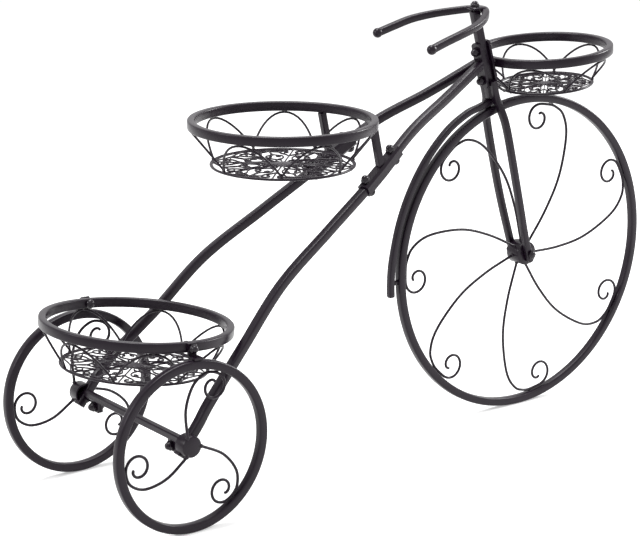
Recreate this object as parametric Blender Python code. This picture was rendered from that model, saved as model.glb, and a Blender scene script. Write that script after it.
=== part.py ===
"""Plant stand in the shape of a tricycle, in metres, +Z up, +X towards the front wheel.

Square tube, flat bar and round wire, bolted and welded together, with three baskets for pots.
The origin is on the floor, under the middle of the stand.
"""

import math

import bmesh
import bpy
from mathutils import Matrix, Vector

# Wheels
WHEELBASE = 0.5484
FRONT_WHEEL_RADIUS = 0.190
REAR_WHEEL_RADIUS = 0.0924
REAR_WHEEL_GAP = 0.0046
RIM_TUBE = 0.0097
RIM_CORNER = 0.0016
FRONT_RIM_STEPS = 56
REAR_RIM_STEPS = 32

# Spokes: a wire that leaves the hub, follows the rim and curls back
SPOKE_WIRE_RADIUS = 0.0016
SPOKE_SIDES = 5
SPOKE_STEPS = 2
FRONT_SPOKE_ANGLES = (134.0, 82.5, 29.0, -27.0, -77.5, -131.0, -177.0)
NEAR_SPOKE_ANGLES = (65.5, -56.0, -172.0)
FAR_SPOKE_ANGLES = (65.5, -45.0, -177.0)
# Each route is (share of the reach, angle behind the curl), from the hub outwards
FRONT_SPOKE_ROUTE = (
    (0.0, 40.0),
    (0.334, 31.5),
    (0.579, 26.5),
    (0.834, 19.2),
    (0.957, 13.2),
    (1.0, 7.0),
)
FRONT_CURL_RADIUS = 0.0168
REAR_SPOKE_ROUTE = (
    (0.0, 50.0),
    (0.511, 34.0),
    (0.810, 22.5),
    (0.968, 11.5),
    (1.0, 4.5),
)
REAR_CURL_RADIUS = 0.0148
CURL_TURN = 372.0
FRONT_CURL_FALL_SHARE = 0.42
REAR_CURL_FALL_SHARE = 0.34
CURL_END_SHARE = 0.97
CURL_POINTS = 11

# Hubs and axle bolts
FRONT_HUB_RADIUS = 0.0141
REAR_HUB_RADIUS = 0.0115
REAR_HUB_LENGTH = 0.0150
REAR_HUB_OVERHANG = 0.0010
REAR_HUB_WALL = 0.0020
HUB_STEPS = 16
AXLE_BOLT_RADIUS = 0.0030
AXLE_HEAD_RADIUS = 0.0056
AXLE_HEAD_HEIGHT = 0.0036
REAR_PIN_RADIUS = 0.0024

# Frame tubes, from the head plate (share 0 of the fall) to the rear hubs
FRAME_TUBE = 0.0100
FRAME_TUBE_CORNER = 0.0016
FRAME_END_INSET = 0.0130
FRAME_END_DROP = 0.0024
HEAD_TUBE_OFFSET = 0.0040
FRAME_X_SHARES = (1.0, 0.874, 0.736, 0.599, 0.449, 0.299, 0.177, 0.070, 0.034, 0.0)
FRAME_Y_SHARES = (0.0, 0.139, 0.311, 0.469, 0.598, 0.727, 0.842, 0.970, 1.0, 1.0)
FRAME_Z_SHARES = (1.0, 0.914, 0.826, 0.695, 0.562, 0.426, 0.260, 0.120, 0.059, 0.0)
FRAME_STEPS = 4
UPPER_TUBE_STEPS = 8
LOWER_TUBE_STEPS = 14
FRAME_TAIL = 0.0120

# Sleeve that joins the upper and the lower tube
SLEEVE_LENGTH = 0.0660
SLEEVE_WALL = 0.0020
SLEEVE_PLACE_SHARE = 0.3464
SLEEVE_BOLT_SPACING = 0.0500
SLEEVE_STEPS = 2

# Bolts with domed heads and domed nuts
BOLT_RADIUS = 0.0020
BOLT_HEAD_RADIUS = 0.0052
BOLT_HEAD_HEIGHT = 0.0054
DOME_NUT_RADIUS = 0.0054
DOME_NUT_HEIGHT = 0.0075
BOLT_STEPS = 8
HEAD_CROWN_SHARES = (0.62, 0.85)
HEAD_EDGE_SHARE = 0.35
NUT_CROWN_SHARES = (0.66, 0.88)
NUT_EDGE_SHARE = 0.55

# Cross bar between the rear hubs, with a lug and a bolt near each end
CROSS_BAR = 0.0078
CROSS_BAR_CORNER = 0.0012
CROSS_BAR_LIFT = 0.0018
LUG_INSET = 0.02305
LUG_WIDTH = 0.0140
LUG_THICKNESS = 0.0030
LUG_DROP = 0.0120
LUG_BOLT_DROP = 0.0062

# Steering head: stem, fork, plates and bolts, along the leaning fork line
FORK_LEAN = 15.73
STEM_TUBE = 0.0100
STEM_TUBE_CORNER = 0.0016
STEM_LENGTH = 0.1059
FORK_LEG_WIDTH = 0.0078
FORK_LEG_CORNER = 0.0012
FORK_LEG_LAP = 0.0213
FORK_SHOULDER_DROP = 0.0030
FORK_WAIST_DROP = 0.0300
FORK_SPREAD = 0.0170
FORK_DROPOUT = 0.0100
FORK_DROPOUT_PINCH = 0.0025
FORK_BOW = 0.0018
HEAD_PLATE_THICKNESS = 0.0030
HEAD_PLATE_WIDTH = 0.0150
HEAD_PLATE_LENGTH = 0.0540
HEAD_PLATE_CORNER = 0.0030
HEAD_PLACE_SHARE = 0.391
HEAD_BOLT_SPACING = 0.0355
BASKET_TAB_HEIGHT = 0.0080
BASKET_TAB_WIDTH = 0.0120

# Handlebar: a flat hairpin with ball ends
HANDLEBAR_TUBE = 0.0080
HANDLEBAR_CORNER = 0.0014
HANDLEBAR_SPREAD = 0.0478
HANDLEBAR_REACH = 0.1124
HANDLEBAR_DROP = 0.0260
HANDLEBAR_ROLL = 4.0
HANDLEBAR_BALL_RADIUS = 0.0057
BALL_RINGS = 6
HANDLEBAR_BEND_ROOM = 0.0018
HANDLEBAR_CAP_LENGTH = 0.0190
HANDLEBAR_CAP_WIDTH = 0.0180
HANDLEBAR_CAP_THICKNESS = 0.0028
HANDLEBAR_CAP_SINK = 0.0024
HANDLEBAR_BOLT_DEPTH = 0.0070
HANDLEBAR_NUT_HEIGHT = 0.0062
HANDLEBAR_REACH_SHARES = (1.0, 0.82, 0.60, 0.38, 0.19, 0.06, 0.0)
HANDLEBAR_SPREAD_SHARES = (1.0, 0.97, 0.935, 0.805, 0.555, 0.285, 0.0)
HANDLEBAR_DROP_SHARES = (1.0, 0.77, 0.52, 0.34, 0.18, 0.05, 0.0)

# Mudguard bar behind the front wheel
MUDGUARD_BAR = 0.0074
MUDGUARD_CORNER = 0.0012
MUDGUARD_GAP = 0.0078
MUDGUARD_START_ANGLE = 103.0
MUDGUARD_END_ANGLE = 186.7
MUDGUARD_TURN_SHARES = (0.0, 0.10, 0.17, 0.28, 0.42, 0.56, 0.70, 0.85, 0.945, 1.0)
MUDGUARD_GAP_SHARES = (0.30, 0.38, 0.74, 0.88, 0.70, 0.52, 0.46, 0.58, 0.76, 0.86)
MUDGUARD_STEPS = 3
MUDGUARD_PIN_ANGLE = 182.1
MUDGUARD_PIN_RADIUS = 0.0030

# Baskets
BASKET_RADIUS = 0.1031
BASKET_HEIGHT = 0.0500
BASKET_FLOOR_RADIUS = 0.0795
FRONT_BASKET_RADIUS = 0.0802
FRONT_BASKET_HEIGHT = 0.0447
FRONT_BASKET_FLOOR_RADIUS = 0.0570
RING_HEIGHT = 0.0105
RING_THICKNESS = 0.0082
RING_CORNER = 0.0014
RING_STEPS = 32
BASKET_WIRE_RADIUS = 0.0013
BASKET_WIRE_SIDES = 5
FLOOR_THICKNESS = 0.0023
FLOOR_RIM_WIDTH = 0.0035
FLOOR_RIM_STEPS = 28
ARCH_COUNT = 7
FRONT_ARCH_COUNT = 5
ARCH_POINTS = 8
ARCH_FULLNESS_SHARE = 0.95
MIDDLE_ARCH_ANGLE = -127.0
REAR_ARCH_ANGLE = -138.0
FRONT_ARCH_ANGLE = 180.0
PETAL_COUNT = 8
PETAL_POINTS = 6
PETAL_BAR_WIDTH = 0.0030
PETAL_BAND_SHARES = (0.12, 0.54, 1.0)
PETAL_BAR_SHARE = 1.3

# Where the baskets sit
MIDDLE_BASKET_RISE = 0.0432
REAR_BASKET_SHIFT = 0.0068
REAR_BASKET_TILT = 5.3
REAR_BRACKET_WIDTH = 0.0100
REAR_BRACKET_THICKNESS = 0.0025
REAR_BRACKET_FOOT = 0.0140
REAR_BRACKET_RISE = 0.0155
FRONT_BASKET_TILT = -4.5
FRONT_BASKET_GAP = 0.0035
FRONT_BASKET_HEAD_DROP = 0.0019
STRUT_BAR = 0.0080
STRUT_CORNER = 0.0012
STRUT_LEAN = 0.0113
STAY_SPREAD = 0.0060

# Clearance between pieces that touch, and how far a cutter runs past what it cuts
SEAT = 0.0003
OVERRUN = 0.0040
MERGE = 0.000001
SHARP_ANGLE = 50.0

# The two sides of the stand, the first one towards -Y
SIDES = ((-1, "right"), (1, "left"))
AXLE_TURN = Matrix.Rotation(math.radians(90), 4, "X")

CHARCOAL = (0.030, 0.027, 0.030, 1.0)
BOLT_BLACK = (0.022, 0.021, 0.023, 1.0)
COAT_ROUGHNESS = 0.55
BOLT_ROUGHNESS = 0.40
COAT_METALLIC = 0.25
BOLT_METALLIC = 0.60


# Tools

def clear_scene():
    """Removes whatever the scene holds."""
    for thing in list(bpy.data.objects):
        bpy.data.objects.remove(thing, do_unlink=True)


def coat(name, colour, roughness, metallic):
    """A painted metal material for one piece."""
    material = bpy.data.materials.new(name + "_coat")
    material.use_nodes = True
    shader = material.node_tree.nodes["Principled BSDF"]
    shader.inputs["Base Color"].default_value = colour
    shader.inputs["Roughness"].default_value = roughness
    shader.inputs["Metallic"].default_value = metallic
    return material


def empty(name, place, parent=None, turn=None):
    """An empty that carries pieces, with an optional turn matrix."""
    holder = bpy.data.objects.new(name, None)
    bpy.context.scene.collection.objects.link(holder)
    matrix = Matrix.Translation(place)
    if turn is not None:
        matrix = matrix @ turn
    holder.matrix_local = matrix
    holder.parent = parent
    return holder


def finish_mesh(name, bm, parent, bolt=False):
    """Turns a bmesh into a named, shaded object with its own material."""
    bmesh.ops.remove_doubles(bm, verts=bm.verts, dist=MERGE)
    bmesh.ops.recalc_face_normals(bm, faces=bm.faces)
    mesh = bpy.data.meshes.new(name)
    bm.to_mesh(mesh)
    bm.free()
    mesh.shade_smooth()
    mesh.set_sharp_from_angle(angle=math.radians(SHARP_ANGLE))
    piece = bpy.data.objects.new(name, mesh)
    bpy.context.scene.collection.objects.link(piece)
    piece.parent = parent
    if bolt:
        material = coat(name, BOLT_BLACK, BOLT_ROUGHNESS, BOLT_METALLIC)
    else:
        material = coat(name, CHARCOAL, COAT_ROUGHNESS, COAT_METALLIC)
    mesh.materials.append(material)
    return piece


def square_section(width, height, corner):
    """A rectangle with cut corners, across by up."""
    across = width / 2
    up = height / 2
    return [
        (across, corner - up),
        (across, up - corner),
        (across - corner, up),
        (corner - across, up),
        (-across, up - corner),
        (-across, corner - up),
        (corner - across, -up),
        (across - corner, -up),
    ]


def round_section(radius, sides):
    """A regular polygon for a wire."""
    return [
        (radius * math.cos(math.tau * k / sides), radius * math.sin(math.tau * k / sides))
        for k in range(sides)
    ]


def smooth_path(points, steps):
    """A curve through the points, with the given steps between neighbours."""
    ends = [points[0] * 2 - points[1], points[-1] * 2 - points[-2]]
    run = [ends[0]] + list(points) + [ends[1]]
    path = []
    for i in range(1, len(run) - 2):
        before, start, stop, after = run[i - 1:i + 3]
        for k in range(steps):
            t = k / steps
            straight = (stop - before) * t
            bend = (before * 2 - start * 5 + stop * 4 - after) * t * t
            twist = (start * 3 - before - stop * 3 + after) * t * t * t
            path.append(start + (straight + bend + twist) / 2)
    path.append(points[-1].copy())
    return path


def add_sweep(bm, path, section, upright, closed=False):
    """Adds a bar along a path, its section kept square to an upright direction."""
    count = len(path)
    rings = []
    for i, point in enumerate(path):
        if closed:
            along = path[(i + 1) % count] - path[i - 1]
        else:
            along = path[min(i + 1, count - 1)] - path[max(i - 1, 0)]
        along.normalize()
        across = along.cross(upright).normalized()
        up = across.cross(along)
        rings.append([bm.verts.new(point + across * u + up * v) for u, v in section])
    pairs = list(zip(rings, rings[1:] + rings[:1])) if closed else list(zip(rings, rings[1:]))
    size = len(section)
    for first, second in pairs:
        for k in range(size):
            m = (k + 1) % size
            bm.faces.new((first[k], first[m], second[m], second[k]))
    if not closed:
        bm.faces.new(rings[0])
        bm.faces.new(rings[-1])
    return rings


def sweep(name, path, section, upright, parent, closed=False, bolt=False):
    """A bar or wire along a path, as its own piece."""
    bm = bmesh.new()
    add_sweep(bm, path, section, upright, closed)
    return finish_mesh(name, bm, parent, bolt)


def turn_profile(name, profile, steps, parent, closed=False, bolt=False):
    """Turns a profile of (radius, height) about the local Z axis."""
    bm = bmesh.new()
    verts = [bm.verts.new((radius, 0, height)) for radius, height in profile]
    edges = [bm.edges.new(pair) for pair in zip(verts, verts[1:])]
    if closed:
        edges.append(bm.edges.new((verts[-1], verts[0])))
    bmesh.ops.spin(
        bm,
        geom=verts + edges,
        cent=(0, 0, 0),
        axis=(0, 0, 1),
        angle=math.tau,
        steps=steps,
        use_merge=True,
    )
    return finish_mesh(name, bm, parent, bolt)


def block(name, low, high, parent):
    """A plain block between two corners."""
    bm = bmesh.new()
    bmesh.ops.create_cube(bm, size=1)
    low = Vector(low)
    high = Vector(high)
    bmesh.ops.scale(bm, vec=high - low, verts=bm.verts)
    bmesh.ops.translate(bm, vec=(low + high) / 2, verts=bm.verts)
    return finish_mesh(name, bm, parent)


def prism(name, outline, x, depth, parent):
    """A bar with an outline in the YZ plane, running from x along +X."""
    bm = bmesh.new()
    face = bm.faces.new([bm.verts.new((x, y, z)) for y, z in outline])
    grown = bmesh.ops.extrude_face_region(bm, geom=[face])
    moved = [item for item in grown["geom"] if isinstance(item, bmesh.types.BMVert)]
    bmesh.ops.translate(bm, vec=(depth, 0, 0), verts=moved)
    return finish_mesh(name, bm, parent)


def as_cutter(piece):
    """Marks a piece as a shape that only cuts or joins others."""
    piece.hide_render = True
    piece.display_type = "WIRE"
    return piece


def cut(piece, cutter, operation="DIFFERENCE"):
    """Cuts a piece by a cutter, or joins the two."""
    as_cutter(cutter)
    step = piece.modifiers.new(cutter.name, "BOOLEAN")
    step.operation = operation
    step.solver = "EXACT"
    step.object = cutter
    return piece


def aim(axis, place):
    """A matrix that puts the local Z axis along a direction, at a place."""
    turn = Vector(axis).to_track_quat("Z", "Y").to_matrix().to_4x4()
    return Matrix.Translation(place) @ turn


def drill(name, pieces, place, axis, length, radius, parent):
    """Cuts a round hole through the pieces, centred on a place."""
    half = length / 2 + OVERRUN
    profile = [(0, -half), (radius, -half), (radius, half), (0, half)]
    bit = turn_profile(name, profile, BOLT_STEPS, parent)
    bit.matrix_local = aim(axis, place)
    for piece in pieces:
        cut(piece, bit)
    return bit


def bolt_profile(grip, shank):
    """Half outline of a dome-headed bolt with a dome nut, its grip from zero upwards."""
    head = BOLT_HEAD_RADIUS
    nut = DOME_NUT_RADIUS
    rise = DOME_NUT_HEIGHT
    return [
        (0, -BOLT_HEAD_HEIGHT),
        (head * HEAD_CROWN_SHARES[0], -BOLT_HEAD_HEIGHT * HEAD_CROWN_SHARES[1]),
        (head, -BOLT_HEAD_HEIGHT * HEAD_EDGE_SHARE),
        (head, -SEAT),
        (shank, -SEAT),
        (shank, grip + SEAT),
        (nut, grip + SEAT),
        (nut, grip + rise * NUT_EDGE_SHARE),
        (nut * NUT_CROWN_SHARES[0], grip + rise * NUT_CROWN_SHARES[1]),
        (0, grip + rise),
    ]


def dome_bolt(name, start, axis, grip, parent):
    """A bolt whose head seats at start and whose dome nut seats one grip further on."""
    piece = turn_profile(name, bolt_profile(grip, BOLT_RADIUS), BOLT_STEPS, parent, bolt=True)
    piece.matrix_local = aim(axis, start)
    return piece


# Wheels

def rim(name, radius, steps, parent):
    """A square-tube rim, standing in the XZ plane."""
    section = square_section(RIM_TUBE, RIM_TUBE, RIM_CORNER)
    middle = radius - RIM_TUBE / 2
    profile = [(middle + u, v) for u, v in section]
    piece = turn_profile(name, profile, steps, parent, closed=True)
    piece.matrix_local = AXLE_TURN
    return piece


def spoke_path(start, reach, route, curl, fall, sense):
    """The spoke's route in its wheel's plane, with the curl's middle straight up."""
    def polar(radius, angle):
        turn = math.radians(angle) * sense
        return Vector((radius * math.sin(turn), 0, radius * math.cos(turn)))

    points = [polar(start, route[0][1])]
    for share, angle in route[1:]:
        points.append(polar(reach * share, angle))
    path = smooth_path(points, SPOKE_STEPS)
    centre = Vector((0, 0, reach - curl))
    for k in range(1, CURL_POINTS + 1):
        share = CURL_END_SHARE * k / CURL_POINTS
        angle = math.radians(CURL_TURN * share)
        radius = curl * (1 - share) ** fall
        offset = Vector((-math.sin(angle) * sense, 0, math.cos(angle)))
        path.append(centre + offset * radius)
    return path


def spokes(prefix, wheel_radius, hub_radius, angles, route, curl, fall, sense, holder):
    """The scroll spokes of one wheel, each turned to its own place."""
    section = round_section(SPOKE_WIRE_RADIUS, SPOKE_SIDES)
    reach = wheel_radius - RIM_TUBE - SEAT - SPOKE_WIRE_RADIUS
    path = spoke_path(hub_radius + SEAT, reach, route, curl, fall, sense)
    for number, angle in enumerate(angles, 1):
        name = f"{prefix}_spoke_{number}"
        piece = sweep(name, path, section, Vector((0, 1, 0)), holder)
        piece.rotation_euler = (0, math.radians(90 - angle), 0)


def front_wheel(stand):
    """The large wheel with seven spokes and a drum between the fork legs."""
    holder = empty("front_wheel", (WHEELBASE, 0, FRONT_WHEEL_RADIUS), stand)
    rim("front_wheel_rim", FRONT_WHEEL_RADIUS, FRONT_RIM_STEPS, holder)
    half = FORK_SPREAD - FORK_LEG_WIDTH / 2 - SEAT - FORK_DROPOUT_PINCH
    bore = AXLE_BOLT_RADIUS + SEAT
    radius = FRONT_HUB_RADIUS
    profile = [(bore, -half), (radius, -half), (radius, half), (bore, half)]
    hub = turn_profile("front_wheel_hub", profile, HUB_STEPS, holder, closed=True)
    hub.matrix_local = AXLE_TURN
    spokes(
        "front_wheel",
        FRONT_WHEEL_RADIUS,
        FRONT_HUB_RADIUS,
        FRONT_SPOKE_ANGLES,
        FRONT_SPOKE_ROUTE,
        FRONT_CURL_RADIUS,
        FRONT_CURL_FALL_SHARE,
        1,
        holder,
    )


def axle_bolt_profile(length):
    """Half outline of an axle bolt with a low domed head below zero and a nut at its length."""
    head = AXLE_HEAD_RADIUS
    height = AXLE_HEAD_HEIGHT
    pin = AXLE_BOLT_RADIUS
    return [
        (0, -height),
        (head * HEAD_CROWN_SHARES[0], -height * HEAD_CROWN_SHARES[1]),
        (head, -height * HEAD_EDGE_SHARE),
        (head, -SEAT),
        (pin, -SEAT),
        (pin, length),
        (head, length),
        (head, length + height * NUT_EDGE_SHARE),
        (head * NUT_CROWN_SHARES[0], length + height * NUT_CROWN_SHARES[1]),
        (0, length + height),
    ]


def rear_wheel(stand, side, label, angles):
    """A small wheel with three spokes, on a cup-shaped hub that is open towards the frame."""
    y = side * rear_wheel_offset()
    holder = empty(f"{label}_rear_wheel", (0, y, REAR_WHEEL_RADIUS), stand)
    rim(f"{label}_rear_wheel_rim", REAR_WHEEL_RADIUS, REAR_RIM_STEPS, holder)
    outer = REAR_HUB_OVERHANG
    inner = outer - REAR_HUB_LENGTH
    wall = REAR_HUB_WALL
    radius = REAR_HUB_RADIUS
    profile = [
        (0, outer),
        (radius - wall / 2, outer),
        (radius, outer - wall / 2),
        (radius, inner),
        (radius - wall, inner),
        (radius - wall, outer - wall),
        (0, outer - wall),
    ]
    hub = turn_profile(f"{label}_rear_wheel_hub", profile, HUB_STEPS, holder)
    hub.matrix_local = Matrix.Rotation(math.radians(-90 * side), 4, "X")
    spokes(
        f"{label}_rear_wheel",
        REAR_WHEEL_RADIUS,
        REAR_HUB_RADIUS,
        angles,
        REAR_SPOKE_ROUTE,
        REAR_CURL_RADIUS,
        REAR_CURL_FALL_SHARE,
        -1,
        holder,
    )
    return hub


# Frame

def frame_route(side):
    """The whole run of one side's tube, from the head to the rear hub, as a smooth path."""
    head = Vector((head_x(), HEAD_TUBE_OFFSET, head_z()))
    tail = Vector((0, rear_wheel_offset() - FRAME_END_INSET, REAR_WHEEL_RADIUS - FRAME_END_DROP))
    points = []
    for x_share, y_share, z_share in zip(FRAME_X_SHARES, FRAME_Y_SHARES, FRAME_Z_SHARES):
        x = tail.x + (head.x - tail.x) * x_share
        y = head.y + (tail.y - head.y) * y_share
        z = tail.z + (head.z - tail.z) * z_share
        points.append(Vector((x, y * side, z)))
    return smooth_path(points, FRAME_STEPS)


def rear_wheel_offset():
    """How far each rear wheel stands from the mid plane, clear of the rear basket's ring."""
    return BASKET_RADIUS + REAR_WHEEL_GAP + RIM_TUBE / 2


def fork_point(along, back=0.0):
    """A point on the fork line, some way up from the front axle and back from the line."""
    lean = math.radians(FORK_LEAN)
    x = WHEELBASE - along * math.sin(lean) - back * math.cos(lean)
    z = FRONT_WHEEL_RADIUS + along * math.cos(lean) - back * math.sin(lean)
    return Vector((x, 0, z))


def head_x():
    """Where the frame tubes' line ends, in the stem's middle."""
    return fork_point(head_middle()).x - FRAME_TUBE


def head_z():
    """The height at which the frame tubes meet the head plate."""
    return fork_point(head_middle()).z


def length_of(path):
    """The length of a path."""
    return sum((b - a).length for a, b in zip(path, path[1:]))


def point_along(path, distance):
    """The point and the direction at a distance from a path's start."""
    left = distance
    for a, b in zip(path, path[1:]):
        step = (b - a).length
        if left <= step:
            return a.lerp(b, left / step), (b - a).normalized()
        left -= step
    return path[-1].copy(), (path[-1] - path[-2]).normalized()


def part_of(path, start, stop, steps):
    """An even run of points between two distances along a path."""
    return [point_along(path, start + (stop - start) * k / steps)[0] for k in range(steps + 1)]


def add_tube_with_bore(bm, path, outer, inner, upright):
    """Adds a hollow bar whose ends are open."""
    outside = add_sweep_rings(bm, path, outer, upright)
    inside = add_sweep_rings(bm, path, inner, upright)
    size = len(outer)
    for k in range(size):
        m = (k + 1) % size
        for i in range(len(path) - 1):
            bm.faces.new((outside[i][k], outside[i][m], outside[i + 1][m], outside[i + 1][k]))
            bm.faces.new((inside[i][m], inside[i][k], inside[i + 1][k], inside[i + 1][m]))
        for end in (0, -1):
            bm.faces.new((outside[end][k], outside[end][m], inside[end][m], inside[end][k]))


def add_sweep_rings(bm, path, section, upright):
    """Adds the rings of points of an open bar, without faces."""
    last = len(path) - 1
    rings = []
    for i, point in enumerate(path):
        along = (path[min(i + 1, last)] - path[max(i - 1, 0)]).normalized()
        across = along.cross(upright).normalized()
        up = across.cross(along)
        rings.append([bm.verts.new(point + across * u + up * v) for u, v in section])
    return rings


def frame_side(stand, side, label, hub, plate_cutter):
    """One side of the frame: the upper and the lower tube, their sleeve and its two bolts."""
    upright = Vector((0, 0, 1))
    path = frame_route(side)
    total = length_of(path)
    middle = total * SLEEVE_PLACE_SHARE
    section = square_section(FRAME_TUBE, FRAME_TUBE, FRAME_TUBE_CORNER)
    upper_path = part_of(path, 0, middle - SEAT / 2, UPPER_TUBE_STEPS)
    lower_path = part_of(path, middle + SEAT / 2, total, LOWER_TUBE_STEPS)
    tail_point, tail_way = point_along(path, total)
    lower_path[-1] = tail_point + tail_way * FRAME_TAIL
    upper = sweep(f"{label}_upper_frame_tube", upper_path, section, upright, stand)
    lower = sweep(f"{label}_lower_frame_tube", lower_path, section, upright, stand)
    cut(upper, plate_cutter)
    trim_at_middle(upper, side, label, stand)

    bore = FRAME_TUBE + SEAT * 2
    outside = bore + SLEEVE_WALL * 2
    sleeve_path = part_of(path, middle - SLEEVE_LENGTH / 2, middle + SLEEVE_LENGTH / 2, SLEEVE_STEPS)
    bm = bmesh.new()
    add_tube_with_bore(
        bm,
        sleeve_path,
        square_section(outside, outside, FRAME_TUBE_CORNER + SLEEVE_WALL / 2),
        square_section(bore, bore, FRAME_TUBE_CORNER),
        upright,
    )
    sleeve = finish_mesh(f"{label}_frame_sleeve", bm, stand)

    for number, tube, way in ((1, upper, -1), (2, lower, 1)):
        place, along = point_along(path, middle + way * SLEEVE_BOLT_SPACING / 2)
        across = along.cross(upright).normalized()
        up = across.cross(along)
        drill(
            f"{label}_sleeve_hole_{number}",
            [tube, sleeve],
            place,
            up,
            outside,
            BOLT_RADIUS + SEAT,
            stand,
        )
        dome_bolt(f"{label}_sleeve_bolt_{number}", place - up * outside / 2, up, outside, stand)

    seat_tail(lower_path[-2:], hub, side, label, stand)
    return path, middle, outside, lower


def trim_at_middle(upper, side, label, stand):
    """Trims the tube's head end on the stand's mid plane, where it meets its twin."""
    reach = FRAME_TUBE * 2
    near = SEAT / 2
    low = Vector((head_x() - STEM_TUBE * 4, 0, head_z() - reach * 2))
    high = Vector((head_x() + reach, 0, head_z() + reach))
    ends = sorted((near * side, -reach * side))
    low.y = ends[0]
    high.y = ends[1]
    cut(upper, block(f"{label}_mid_plane", low, high, stand))


def seat_tail(tail, hub, side, label, stand):
    """Notches the hub's mouth for the tube's end and adds the pin that holds the hub on it."""
    notch = FRAME_TUBE + SEAT * 2
    section = square_section(notch, notch, FRAME_TUBE_CORNER)
    start, stop = tail
    end = stop + (stop - start).normalized() * SEAT
    plug = sweep(f"{label}_hub_notch", [start, end], section, Vector((0, 0, 1)), stand)
    cut(hub, plug)
    inner = rear_wheel_offset() - FRAME_END_INSET - FRAME_TUBE / 2
    length = rear_wheel_offset() + REAR_HUB_OVERHANG - REAR_HUB_WALL - SEAT - inner
    pin = REAR_PIN_RADIUS
    profile = [(0, 0), (pin, 0), (pin, length), (0, length)]
    axle = turn_profile(f"{label}_rear_axle_pin", profile, BOLT_STEPS, stand, bolt=True)
    axle.matrix_local = aim(Vector((0, side, 0)), Vector((0, side * inner, REAR_WHEEL_RADIUS)))


def cross_bar(stand, lowers):
    """The bar between the rear ends of the frame, with a lug near each end.

    Each lug is bolted to a tab that runs out of the hub from the end of the frame tube.
    """
    z = REAR_WHEEL_RADIUS + CROSS_BAR_LIFT
    bottom = z - CROSS_BAR / 2
    tube_y = rear_wheel_offset() - FRAME_END_INSET
    reach = tube_y - FRAME_TUBE / 2 - SEAT
    section = square_section(CROSS_BAR, CROSS_BAR, CROSS_BAR_CORNER)
    path = [Vector((0, -reach, z)), Vector((0, reach, z))]
    bar = sweep("rear_cross_bar", path, section, Vector((0, 0, 1)), stand)
    lug_y = tube_y - LUG_INSET
    near = lug_y - LUG_WIDTH / 2
    far = lug_y + LUG_WIDTH / 2
    top = bottom - SEAT
    low = bottom - LUG_DROP
    tab_x = LUG_THICKNESS / 2 + SEAT
    bore = (REAR_HUB_RADIUS - REAR_HUB_WALL) * math.cos(math.pi / HUB_STEPS)
    room = math.sqrt(bore ** 2 - (tab_x + LUG_THICKNESS) ** 2)
    neck = REAR_WHEEL_RADIUS - room + SEAT * 2
    for side, label in SIDES:
        lug_ends = sorted((near * side, far * side))
        lug_low = (-LUG_THICKNESS / 2, lug_ends[0], low)
        lug_high = (LUG_THICKNESS / 2, lug_ends[1], bottom + CROSS_BAR_CORNER / 2)
        cut(bar, block(f"{label}_lug", lug_low, lug_high, stand), "UNION")
        outline = [(near, low), (far, low), (far, neck), (tube_y, neck), (tube_y, top), (near, top)]
        outline = [(y * side, height) for y, height in outline]
        tab = prism(f"{label}_tab", outline, tab_x, LUG_THICKNESS, stand)
        cut(lowers[label], tab, "UNION")
        axle = Vector((0, side * tube_y, REAR_WHEEL_RADIUS))
        along = Vector((0, 1, 0))
        bit = REAR_PIN_RADIUS + SEAT
        drill(f"{label}_axle_bore", [lowers[label]], axle, along, FRAME_TUBE, bit, stand)
        place = Vector((0, side * lug_y, bottom - LUG_BOLT_DROP))
        axis = Vector((-1, 0, 0))
        grip = LUG_THICKNESS * 2 + SEAT
        hole = BOLT_RADIUS + SEAT
        drill(f"{label}_lug_hole", [bar, lowers[label]], place, axis, grip * 2, hole, stand)
        start = place + Vector((LUG_THICKNESS * 3 / 2 + SEAT, 0, 0))
        dome_bolt(f"{label}_lug_bolt", start, axis, grip, stand)


# Steering head

def stem_bottom():
    """How far up the fork line the stem ends, just above the mudguard bar."""
    return FRONT_WHEEL_RADIUS + MUDGUARD_GAP * MUDGUARD_GAP_SHARES[1] + MUDGUARD_BAR + SEAT


def stem_top():
    """How far up the fork line the stem reaches."""
    return stem_bottom() + STEM_LENGTH


def head_middle():
    """How far up the fork line the middle of the head plate and of its bolts lies."""
    return stem_bottom() + STEM_LENGTH * HEAD_PLACE_SHARE


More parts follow.
